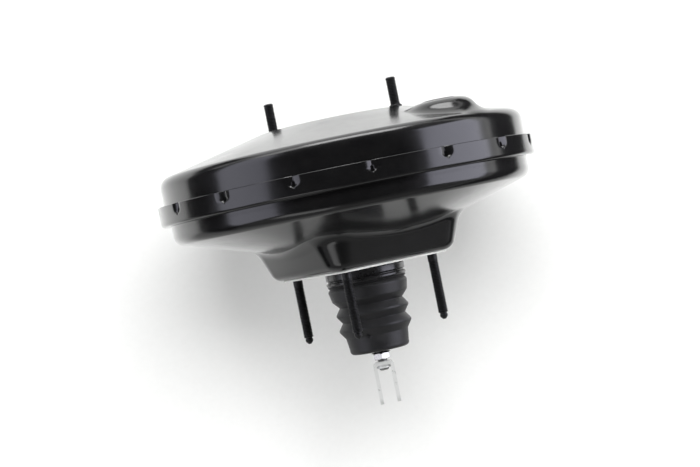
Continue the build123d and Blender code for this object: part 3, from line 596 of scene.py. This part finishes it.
def make_front_shell():
    """The engine side: pilot bore, face, cone with the port's boss, shoulder and wall."""
    corner = (FRONT_WALL_R, cone_height(FRONT_WALL_R))
    line = [(PILOT_R, PILOT_END_Y), (PILOT_R, BODY_DEPTH), (FACE_R, BODY_DEPTH), corner,
            (FRONT_WALL_R, FLANGE_Y + SHEET), (BEAD_R, FLANGE_Y + SHEET)]
    line = rounded(line, [PILOT_BEND_R, FACE_BLEND_R, SHOULDER_R, 0.8], 12)
    line = np.array(refined(line, 1.0))
    angle = ring()
    radius = np.repeat(line[:, 0, None], AROUND, axis=1)
    height = np.repeat(line[:, 1, None], AROUND, axis=1)
    x, z = radius * np.cos(angle), radius * np.sin(angle)
    clear_of_bend = PILOT_R + 6
    above_boss = 60.0
    part = np.where((line[:, 0] > clear_of_bend) & (line[:, 1] > BAND_FRONT_Y))[0]
    flat = np.minimum(cone_height(radius[part]), BODY_DEPTH)

    def form(y):
        return round_union((y - flat) * cos(CONE_PITCH), boss_form(x[part], y, z[part]), BOSS_BLEND_R)

    risen = surface_height(form, flat - 1.0, flat + above_boss) - flat
    height[part] += np.maximum(risen, 0) * fade(radius[part], FRONT_WALL_R - 5, FRONT_WALL_R)
    verts = turned(radius, height, angle).reshape(-1, 3)
    faces = grid_faces(len(line), AROUND)
    middle = verts[faces].mean(axis=1)
    port = np.hypot(middle[:, 0] - BOSS_X, middle[:, 2] - BOSS_Z) < PORT_R
    port &= middle[:, 1] > BAND_FRONT_Y
    shell = mesh_piece("front_shell_pressing", verts, faces[~port], GLOSS_BLACK, 50)
    thicken(shell)
    fit(shell, "housing", "black_paint", "front_shell")


def make_rear_shell():
    """The pedal side: neck, pad, flare and wall, in rows that follow the pad's square outline near it."""
    pad_row, flare_row = 60.0, 100.0
    square_from, square_at = 37, 52     # radii between which the rows turn square
    round_from, round_at = 90, 126      # and round again
    line = [(NECK_LIP_R, NECK_END_Y), (NECK_R, NECK_END_Y), (NECK_R, PAD_Y), (pad_row, PAD_Y),
            (flare_row, flare_height(flare_row)), (WALL_R, flare_height(WALL_R)), (WALL_R, BAND_Y - 2.0)]
    line = rounded(line, [2.2, 2.15, 0, 0, REAR_CORNER_R], 12)
    line = np.array(refined(line, 0.6))
    angle = ring()
    near = (1 - fade(line[:, 0], square_from, square_at)) * fade(line[:, 0], round_from, round_at)
    radius = line[:, 0, None] + near[:, None] * (pad_reach(angle) - PAD_MEAN_R)
    height = np.repeat(line[:, 1, None], AROUND, axis=1)
    x, z = radius * np.cos(angle), radius * np.sin(angle)
    part = np.where((line[:, 0] > square_from - 1) & (line[:, 0] < round_at + 2))[0]
    flare = flare_height(radius[part])

    def form(y):
        return round_union((flare - y) * cos(FLARE_PITCH), pad_form(x[part], y, z[part]), PAD_BLEND_R)

    height[part] = surface_height(form, np.full_like(flare, -30.0), flare + 8.0)
    verts = turned(radius, height, angle).reshape(-1, 3)
    faces = grid_faces(len(line), AROUND, flip=True)
    shell = mesh_piece("rear_shell_pressing", verts, faces, GLOSS_BLACK, 50)
    thicken(shell)
    fit(shell, "housing", "black_paint", "rear_shell")


def crimp_depth(across, along):
    """How far a crimp is driven in, from its middle line and its rear edge."""
    half = LANCE_W / 2
    ridge = np.maximum(half - np.abs(across), 0) / half
    foot = LANCE_FOOT + LANCE_FAN * np.clip(np.abs(across) / half, 0, 1) ** 1.2
    fold = LANCE_DEPTH * ridge ** 1.7 * (1 - fade(along, 0, foot))
    slot = fade(np.abs(across), 0.3, 1.3) * fade(along, 3.0, 5.2) * (1 - fade(along, -1.2, 0.4))
    return fold + LANCE_SLOT * slot


def make_crimp_band():
    """The rear shell's outer rim with its driven-in crimps."""
    half = SHEET / 2
    line = [(WALL_R - half, BAND_Y - 4.0), (WALL_R - half, BAND_Y + half), (BAND_R - half, BAND_Y + half),
            (BAND_R - half, BAND_FRONT_Y)]
    line = rounded(line, [1.2, BAND_BEND_R - half], 10)
    line = np.array(refined(line, 0.5))
    ahead = np.gradient(line, axis=0)
    ahead /= np.linalg.norm(ahead, axis=1)[:, None]
    side = np.stack([ahead[:, 1], -ahead[:, 0]], axis=1)
    edge = 0.3
    outer = line + side * half
    inner = line - side * half
    outer[-1, 1] -= edge
    inner[-1, 1] -= edge
    lip = np.array([[BAND_R - edge, BAND_FRONT_Y], [BAND_R - SHEET + edge, BAND_FRONT_Y]])
    loop = np.vstack([outer, lip, inner[::-1]])
    angle = ring(BAND_COLUMNS)
    pitch = 2 * pi / LANCE_COUNT
    turn = (angle - radians(CLOCK) + pitch / 2) % pitch - pitch / 2
    dent = crimp_depth(turn[None, :] * BAND_R, loop[:, 1, None] - LANCE_Y)
    on_band = (loop[:, 0] > BAND_R - SHEET - 0.2) & (loop[:, 1] > BAND_Y + BAND_BEND_R)
    radius = loop[:, 0, None] - dent * on_band[:, None]
    verts = turned(radius, loop[:, 1, None], angle).reshape(-1, 3)
    faces = grid_faces(len(loop), BAND_COLUMNS, close_rows=True)
    band = mesh_piece("crimp_band", verts, faces, GLOSS_BLACK, 40)
    fit(band, "housing", "black_paint", "rear_shell")


make_front_shell()
make_rear_shell()
make_crimp_band()


# ---------------------------------------------------------------- studs and threads
def threaded(low_y, high_y):
    """Rows of an M8 thread's surface, which runs out at both ends."""
    rows_per_turn = 8
    count = int((high_y - low_y) / THREAD_PITCH * rows_per_turn)
    height = np.linspace(low_y, high_y, count + 1)
    angle = ring(ROD_COLUMNS)
    phase = (height[:, None] / THREAD_PITCH - angle[None, :] / (2 * pi)) % 1.0
    groove = np.clip(1.25 - np.abs(phase - 0.5) * 4.2, 0, 1)
    runout = np.minimum(1, np.minimum(height - low_y, high_y - height) / THREAD_PITCH)[:, None]
    return turned(STUD_R - THREAD_DEPTH * groove * runout, height[:, None], angle)


def turned_rod(name, blocks, x, z, finish):
    """A closed rod from blocks of rows, from its low end to its high end."""
    rows = np.vstack(blocks)
    verts = rows.reshape(-1, 3) + np.array([x, 0, z])
    return mesh_piece(name, verts, tube_faces(len(rows), ROD_COLUMNS, flip=True), finish, 32)


def make_firewall_studs():
    """Four studs with dog points, from their low ends to their heads inside the pad."""
    for index in range(4):
        x, z = polar(REAR_STUD_RADIUS, CLOCK + 90 * index)
        dog = [(0.9, 0.0), (1.4, 0.3), (3.0, 2.1), (3.2, 2.6), (3.2, 4.1), (2.7, 4.4), (2.7, 5.1), (3.3, 5.5)]
        dog = plain_rows([(radius, STUD_END_Y + rise) for radius, rise in dog])
        thread = threaded(STUD_END_Y + 5.6, -5.0)
        shank = plain_rows([(STUD_R, -4.4), (STUD_R, 1.4), (4.4, 1.5), (4.4, 5.5), (8.0, 5.7), (8.0, 9.2),
                            (7.2, 9.7)])
        stud = turned_rod(f"firewall_stud_{index + 1}", [dog, thread, shank], x, z, BLACK_STUD)
        fit(stud, "housing", "black_fastener", "firewall_studs")


def make_front_studs():
    """Two studs for the master cylinder, each with a collar on the face."""
    for index in range(2):
        x, z = polar(FRONT_STUD_RADIUS, CLOCK + 180 * index)
        seat, end = BODY_DEPTH + STUD_COLLAR_H, BODY_DEPTH + STUD_STANDS
        base = plain_rows([(7.4, 115.1), (8.0, 115.6), (8.0, 118.9), (5.2, 119.0), (5.2, seat - 0.4),
                           (4.9, seat), (STUD_R, seat)])
        thread = threaded(seat + 0.2, end - 0.9)
        tip = plain_rows([(3.3, end - 0.2), (2.9, end)])
        stud = turned_rod(f"master_cylinder_stud_{index + 1}", [base, thread, tip], x, z, BLACK_STUD)
        fit(stud, "housing", "black_fastener", "master_cylinder_studs")


def make_gasket_rim():
    """The gasket's pressed rim, bevelled towards the pad."""
    angle = ring()
    reach = pad_reach(angle, GASKET_W)
    profile = np.array([(-0.4, 0.0), (0.8, 0.0), (1.0, 0.1), (1.0, 0.2), (0.1, 1.4), (-0.05, 1.44),
                        (-0.4, 1.44)])
    verts = turned(reach + profile[:, :1], profile[:, 1:], angle).reshape(-1, 3)
    faces = grid_faces(len(profile), AROUND, close_rows=True, flip=True)
    fit(mesh_piece("gasket_rim", verts, faces, GASKET_WHITE, 50), "housing", "white_gasket")


def make_grommet():
    """The rubber grommet in the vacuum port."""
    columns = 96
    top = BOSS_TOP_Y
    points = [(8.0, top - 6.3), (9.5, top - 6.3), (12.0, top - 1.7), (10.3, top - 1.6), (10.3, top + 0.1),
              (13.4, top + 0.1), (13.4, top + 0.5), (12.8, top + 0.9), (8.6, top + 1.0), (8.0, top + 0.5)]
    verts = plain_rows(points, columns).reshape(-1, 3) + np.array([BOSS_X, 0, BOSS_Z])
    faces = grid_faces(len(points), columns, close_rows=True, flip=True)
    fit(mesh_piece("port_grommet", verts, faces, SEAL_RUBBER), "housing", "black_rubber", "vacuum_grommet")


make_firewall_studs()
make_front_studs()
make_gasket_rim()
make_grommet()


# ---------------------------------------------------------------- boot
BOOT_T = 1.8
BOOT_ANCHOR_Y = -11.0
BOOT_END_Y = -69.6
BOOT_FOLD_R = 30.4
BOOT_WAIST_R = 26.0
BOOT_CUP_R = 24.7
BOOT_VENT_X = -6.9
BOOT_VENT_Y = -54.5
BOOT_VENT_DEPTH = 1.5


def make_boot():
    """The collar and the folds stay on the neck; the wiper rides on the push rod."""
    half = BOOT_T / 2
    collar = [(30.1, -10.9), (30.1, -0.6), (32.4, -0.6), (33.0, -1.1), (33.0, -5.8), (31.6, -6.9),
              (31.6, -7.5), (33.2, -8.3), (33.2, -9.8), (32.4, -10.9)]
    collar = rounded(collar + [collar[0]], [0, 0.3, 0.3, 0.5, 0.5, 0.3, 0.6, 0.6, 0.5], 5)[:-1]
    fit(lathe("boot_collar", collar, COLLAR_RUBBER, SOFT_COLUMNS), "housing", "black_rubber", "dust_boot")
    fold, waist, cup = BOOT_FOLD_R - half, BOOT_WAIST_R - half, BOOT_CUP_R - half
    end = BOOT_END_Y + half
    line = [(33.0 - half, BOOT_ANCHOR_Y), (31.0 - half, -12.8), (33.0 - half, -15.5), (31.4 - half, -23.5),
            (waist, -29.4), (fold, -35.8), (waist, -42.2), (fold, -48.6), (waist, -55.0), (cup, end + 3.6),
            (cup, end), (7.4, end + 1.3)]
    line = rounded(line, [0.9, 1.3, 1.4, 1.3, 1.3, 1.3, 1.3, 1.5, 3.0, 2.4], 8)
    folds = lathe("boot_folds", sheet_loop(refined(line, 0.8), BOOT_T), BOOT_RUBBER, SOFT_COLUMNS)
    fit(folds, "housing", "black_rubber", "dust_boot")
    points = np.empty(len(folds.data.vertices) * 3)
    folds.data.vertices.foreach_get("co", points)
    points = points.reshape(-1, 3)
    vent = np.array([BOOT_VENT_X, BOOT_VENT_Y, sqrt(BOOT_WAIST_R ** 2 - BOOT_VENT_X ** 2)]) * MM
    near = fade(np.linalg.norm(points - vent, axis=1), 0.8 * MM, 2.2 * MM)
    outward = points * np.array([1, 0, 1]) / np.hypot(points[:, 0], points[:, 2])[:, None]
    points -= outward * near[:, None] * BOOT_VENT_DEPTH * MM
    folds.data.vertices.foreach_set("co", points.ravel())
    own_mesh(folds)
    wiper = [(4.1, -71.65), (5.0, -71.65), (7.8, -71.5), (8.1, -71.35), (7.8, -71.2), (4.1, -70.9)]
    fit(lathe("boot_wiper", wiper, BOOT_RUBBER, 96), "push_rod", "black_rubber", "dust_boot")


make_boot()


# ---------------------------------------------------------------- input rod, nut and fork
NUT_AF = 13.0
NUT_FRONT_Y = -71.7
NUT_T = 6.5
NUT_GAP = 1.2
NUT_BORE_R = 4.15
NUT_MOUTH_R = 4.7
NUT_BEVEL = 0.85
ROD_END_Y = -86.3
ROD_THREAD_END_Y = -52.0
BALL_Y = 14.0
BALL_R = 5.0


def make_lock_nut():
    """A hexagon nut with its corners chamfered at both faces."""
    columns = 144
    angle = ring(columns)
    flat = (NUT_AF / 2) / np.cos((angle + pi / 6) % (pi / 3) - pi / 6)
    low, high = NUT_FRONT_Y - NUT_T + NUT_GAP, NUT_FRONT_Y
    bevel = NUT_BEVEL * np.linspace(0, 1, 9) ** 0.8
    levels = np.concatenate([low + bevel, np.linspace(low + 1.1, high - 1.1, 4), (high - bevel)[::-1]])
    levels = levels[:, None]
    near = np.minimum(levels - low, high - levels)
    reach = np.minimum(flat, NUT_AF / 2 - 0.35 + near / tan(radians(30)))
    rows = np.vstack([plain_rows([(NUT_BORE_R, low + 0.5), (NUT_MOUTH_R, low)], columns),
                      turned(reach, levels, angle),
                      plain_rows([(NUT_MOUTH_R, high), (NUT_BORE_R, high - 0.5)], columns)])
    faces = grid_faces(len(rows), columns, close_rows=True, flip=True)
    nut = mesh_piece("lock_nut_hexagon", rows.reshape(-1, 3), faces, NUT_ZINC_PAINTED_SHADE, 28)
    fit(nut, "push_rod", "bright_zinc", "lock_nut")


def make_input_rod():
    """The rod from its threaded tip to its ball."""
    ball = [(BALL_R * sin(turn), BALL_Y + BALL_R * cos(turn)) for turn in np.linspace(0.84 * pi, 0.03, 16)]
    shank = [(3.3, BALL_Y - 13.5), (3.3, BALL_Y - 6.0), (2.8, BALL_Y - 4.6)]
    tip = plain_rows([(2.9, ROD_END_Y), (3.5, ROD_END_Y + 0.5)])
    thread = threaded(ROD_END_Y + 0.8, ROD_THREAD_END_Y)
    body = plain_rows([(STUD_R, ROD_THREAD_END_Y + 0.6), (STUD_R, -0.6)] + shank + ball)
    rod = turned_rod("input_rod_turned", [tip, thread, body], 0, 0, DARK_ROD_PAINTED_SHADE)
    fit(rod, "push_rod", "bright_zinc", "input_rod")


make_lock_nut()
make_input_rod()


# ---------------------------------------------------------------- springs and diaphragm
RETURN_R = 31.5
RETURN_WIRE_R = 1.8
RETURN_LOW_Y = 43.55
RETURN_HIGH_Y = 119.1
ROD_SPRING_R = 9.3
ROD_SPRING_WIRE_R = 0.8
ROD_SPRING_LOW_Y = -33.9
ROD_SPRING_HIGH_Y = -17.7
WEB_T = 1.8


def coil(name, radius, wire, low_y, high_y, turns):
    """A spring of round wire, whose wire is capped at both ends."""
    steps, around = int(turns * 40), 12
    part = np.linspace(0, 1, steps + 1)
    turn = part * turns * 2 * pi
    height = low_y + wire + part * (high_y - low_y - 2 * wire)
    centre = np.stack([radius * np.cos(turn), height, radius * np.sin(turn)], axis=1)
    out = np.stack([np.cos(turn), np.zeros_like(turn), np.sin(turn)], axis=1)
    along = np.gradient(centre, axis=0)
    along /= np.linalg.norm(along, axis=1)[:, None]
    up = np.cross(out, along)
    angle = ring(around)[None, :, None]
    rows = centre[:, None, :] + wire * (np.cos(angle) * out[:, None, :] + np.sin(angle) * up[:, None, :])
    return mesh_piece(name, rows.reshape(-1, 3), tube_faces(steps + 1, around), WIRE_STEEL)


def make_springs():
    """The return spring on the housing and the input rod's spring on the power piston."""
    spring = coil("return_spring_coil", RETURN_R, RETURN_WIRE_R, RETURN_LOW_Y, RETURN_HIGH_Y, 6.5)
    fit(spring, "housing", "spring_steel", "return_spring")
    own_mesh(spring)
    rod_spring = coil("rod_spring_coil", ROD_SPRING_R, ROD_SPRING_WIRE_R, ROD_SPRING_LOW_Y,
                      ROD_SPRING_HIGH_Y, 5)
    fit(rod_spring, "power_piston", "spring_steel", "rod_return_spring")
    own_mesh(rod_spring)


def make_diaphragm():
    """The rolled web, which reaches from the piston to the clamped bead at its rim; the bead stays on the
    housing.
    """
    line = [(38.1, 40.0), (62.1, 40.0), (125.0, 48.5), (131.6, 62.9), (142.6, 64.9), (148.8, 66.9)]
    line = rounded(line, [16.0, 5.8, 4.0, 4.0], 10)
    web = lathe("diaphragm_web", sheet_loop(refined(line, 2.0), WEB_T), SEAL_RUBBER, SOFT_COLUMNS)
    bead = [(147.9, 65.2), (152.0, 65.2), (154.0, 67.2), (154.0, 68.8), (147.9, 68.8)]
    bead = lathe("diaphragm_rim_bead", bead, SEAL_RUBBER, SOFT_COLUMNS)
    fit(bead, "housing", "black_rubber", "diaphragm")
    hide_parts("diaphragm")
    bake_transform(web)


make_springs()
make_diaphragm()


# ---------------------------------------------------------------- floor, lamps and camera, in metres
FLOOR_Z = -0.1562
FLOOR_HALF = 6.0
FLOOR_GLOW = 0.12       # what the camera and reflections see beyond the lit floor
# GLOW_AHEAD and GLOW_UNDER are painted light, and SHADE_BEHIND is painted shade, on the floor as only
# reflections see it.
GLOW_AHEAD = 0.55       # how much more reflections see on the engine side
GLOW_UNDER = 0.5        # and right below the booster
SHADE_BEHIND = 0.5      # how much darker they see it on the pedal side
FLAG_Z = FLOOR_Z + 0.001
FLAG_LEFT_X = -1.2
FLAG_END = 0.9
PANEL_TINT = (0.85, 0.85, 1.0)
CAMERA_LENS = 96.0
CAMERA_PLACE = (-0.0057, 0.0295, 1.5386)
CAMERA_TURN = radians(-11.4)


def stage_sheet(name, corners, material):
    """A flat sheet of the set, which isn't part of the booster."""
    mesh = bpy.data.meshes.new(name)
    mesh.from_pydata(corners, [], [(0, 1, 2, 3)])
    mesh.materials.append(material)
    sheet = bpy.data.objects.new(name, mesh)
    bpy.context.scene.collection.objects.link(sheet)
    return sheet


def level_corners(low_x, high_x, half_y, z):
    """Corners of a level rectangle that reaches as far along Y as against it."""
    return [(low_x, -half_y, z), (high_x, -half_y, z), (high_x, half_y, z), (low_x, half_y, z)]


def make_floor():
    """A pale floor that takes shadows, with a glow that only the camera and reflections see; for reflections
    alone it has painted light ahead of and right below the booster, and painted shade on the pedal side.
    """
    material, recipe, surface = new_material("pale_floor")
    path = recipe.new("LightPath").outputs
    mirrored = path["Is Glossy Ray"]
    seen = recipe.math("MAXIMUM", path["Is Camera Ray"], mirrored)
    seen = recipe.math("MAXIMUM", seen, path["Is Transmission Ray"])
    grain = recipe.noise(recipe.place(), 240.0, 4.0, 0.6)
    along = recipe.split(recipe.place())["Y"]
    shader = recipe.new("BsdfPrincipled")
    base = recipe.blend(recipe.span(grain, 0.3, 0.7), (0.805, 0.81, 0.80, 1), (0.825, 0.83, 0.82, 1))
    # Painted shade: reflections see the floor darkened on the pedal side.
    painted_shade_behind = recipe.math("MULTIPLY", recipe.span(along, -0.05, -0.11), mirrored)
    base = recipe.blend(recipe.math("MULTIPLY", painted_shade_behind, SHADE_BEHIND), base, (0, 0, 0, 1))
    recipe.put(shader.inputs["Base Color"], base)
    recipe.put(shader.inputs["Roughness"], recipe.span(grain, 0.3, 0.7, 0.7, 0.9))
    shader.inputs["Specular IOR Level"].default_value = 0.1
    glow = recipe.new("Emission")
    glow.inputs["Color"].default_value = (1, 1, 1, 1)
    # Painted light: reflections see the floor glowing brighter ahead of and right below the booster.
    ahead = recipe.span(along, 0.0, 0.3, 0.0, GLOW_AHEAD)
    under = recipe.math("MULTIPLY", recipe.span(along, -0.10, -0.02), recipe.span(along, 0.16, 0.08))
    painted_glow = recipe.math("ADD", ahead, recipe.math("MULTIPLY", under, GLOW_UNDER))
    painted_glow = recipe.math("MULTIPLY", painted_glow, mirrored)
    strength = recipe.math("ADD", recipe.math("MULTIPLY", seen, FLOOR_GLOW), painted_glow)
    recipe.put(glow.inputs["Strength"], strength)
    both = recipe.new("AddShader")
    recipe.put(both.inputs[0], shader.outputs[0])
    recipe.put(both.inputs[1], glow.outputs[0])
    recipe.put(surface, both.outputs[0])
    stage_sheet("studio_floor", level_corners(-FLOOR_HALF, FLOOR_HALF, FLOOR_HALF, FLOOR_Z), material)


def make_world():
    """A dim overhead that lightens towards the horizon, and white to the eye."""
    world = bpy.data.worlds.new("studio")
    bpy.context.scene.world = world
    world.use_nodes = True
    recipe = Recipe(world.node_tree)
    up = recipe.split(recipe.new("TexCoord").outputs["Generated"])["Z"]
    level = recipe.span(up, 0.30, 0.80, 0.32, 0.03)
    sky = recipe.new("Background")
    sky.inputs["Color"].default_value = (1, 1, 1, 1)
    to_camera = recipe.new("LightPath").outputs["Is Camera Ray"]
    recipe.put(sky.inputs["Strength"], recipe.math("ADD", level, to_camera, clamp=True))
    recipe.put(recipe.new("OutputWorld").inputs["Surface"], sky.outputs[0])


def make_flags():
    """Dark sheets beside the set and on the floor that only reflections see: painted shade in the
    reflections.
    """
    material, recipe, surface = new_material("painted_shade_flag")
    shader = recipe.new("BsdfPrincipled")
    weave = recipe.noise(recipe.place(), 300.0, 3.0, 0.6)
    dark = recipe.blend(weave, (0.01, 0.01, 0.01, 1), (0.02, 0.02, 0.02, 1))
    recipe.put(shader.inputs["Base Color"], dark)
    shader.inputs["Roughness"].default_value = 1.0
    recipe.put(surface, shader.outputs[0])
    # These sheets cast no shadow and give no light; they only put painted shade into reflections.
    left, end, top = FLAG_LEFT_X, FLAG_END, 0.24
    near, far = 0.40, 1.30
    flags = {
        "flag_left": [(left, -end, FLAG_Z), (left, end, FLAG_Z), (left, end, top), (left, -end, top)],
        "flag_left_floor": level_corners(left, -0.72, end, FLAG_Z),
        "flag_right": level_corners(0.33, 0.98, end, FLAG_Z),
        "flag_front_left": [(-end, near, FLAG_Z), (-0.20, near, FLAG_Z), (-0.60, far, FLAG_Z),
                            (-end, far, FLAG_Z)],
        "flag_front_right": [(0.22, near, FLAG_Z), (end, near, FLAG_Z), (end, far, FLAG_Z),
                             (0.74, far, FLAG_Z)],
    }
    for name, corners in flags.items():
        flag = stage_sheet(name, corners, material)
        flag.visible_camera = False
        flag.visible_diffuse = False
        flag.visible_shadow = False


def lamp(name, place, target, width, height, watts, colour=(1, 1, 1), mirrored=True, lighting=True):
    """A plain soft panel that faces a point; it can be one that only lights or is only mirrored."""
    data = bpy.data.lights.new(name, "AREA")
    data.shape = "RECTANGLE"
    data.size, data.size_y = width, height
    data.energy = watts
    data.color = colour
    obj = bpy.data.objects.new(name, data)
    obj.location = place
    obj.rotation_euler = (Vector(target) - Vector(place)).to_track_quat("-Z", "Y").to_euler()
    bpy.context.scene.collection.objects.link(obj)
    obj.visible_camera = False
    obj.visible_glossy = mirrored
    obj.visible_diffuse = lighting


def make_lamps():
    """Each side's mirrored panel stands just ahead of its lighting one, so that neither hides the other."""
    lamp("panel_right", (1.25, 0.10, 0.54), (0, 0.10, 0.54), 1.3, 1.10, 15.0, mirrored=False)
    lamp("panel_right_seen", (1.23, 0.10, 0.54), (0, 0.10, 0.54), 1.3, 1.10, 16.6, PANEL_TINT, lighting=False)
    lamp("panel_left", (-1.25, 0.10, 0.76), (0, 0.10, 0.76), 1.3, 1.0, 10.5, mirrored=False)
    lamp("panel_left_seen", (-1.23, 0.60, 0.76), (0, 0.60, 0.76), 2.3, 1.0, 14.9, PANEL_TINT, lighting=False)
    lamp("panel_ahead", (0.225, 1.62, 0.42), (0.225, 0, 0.42), 1.15, 0.60, 18.5, lighting=False)
    lamp("panel_ahead_left", (-0.73, 1.62, 0.42), (-0.73, 0, 0.42), 0.75, 0.60, 4.5, lighting=False)
    lamp("panel_front", (0.40, 1.95, 3.40), (0, 0.05, 0.0), 2.9, 2.0, 158.0, mirrored=False)
    lamp("panel_rear", (-0.60, -0.95, 0.84), (0, 0, 0), 0.85, 0.4, 1.7)


def make_camera():
    """A long lens straight above the booster, turned about its own axis."""
    data = bpy.data.cameras.new("camera")
    data.lens = CAMERA_LENS
    data.sensor_width = 36.0
    camera = bpy.data.objects.new("camera", data)
    camera.location = CAMERA_PLACE
    camera.rotation_euler = (0, 0, CAMERA_TURN)
    bpy.context.scene.collection.objects.link(camera)
    bpy.context.scene.camera = camera


make_floor()
make_world()
make_flags()
make_lamps()
make_camera()
bpy.context.scene.view_settings.view_transform = "Standard"
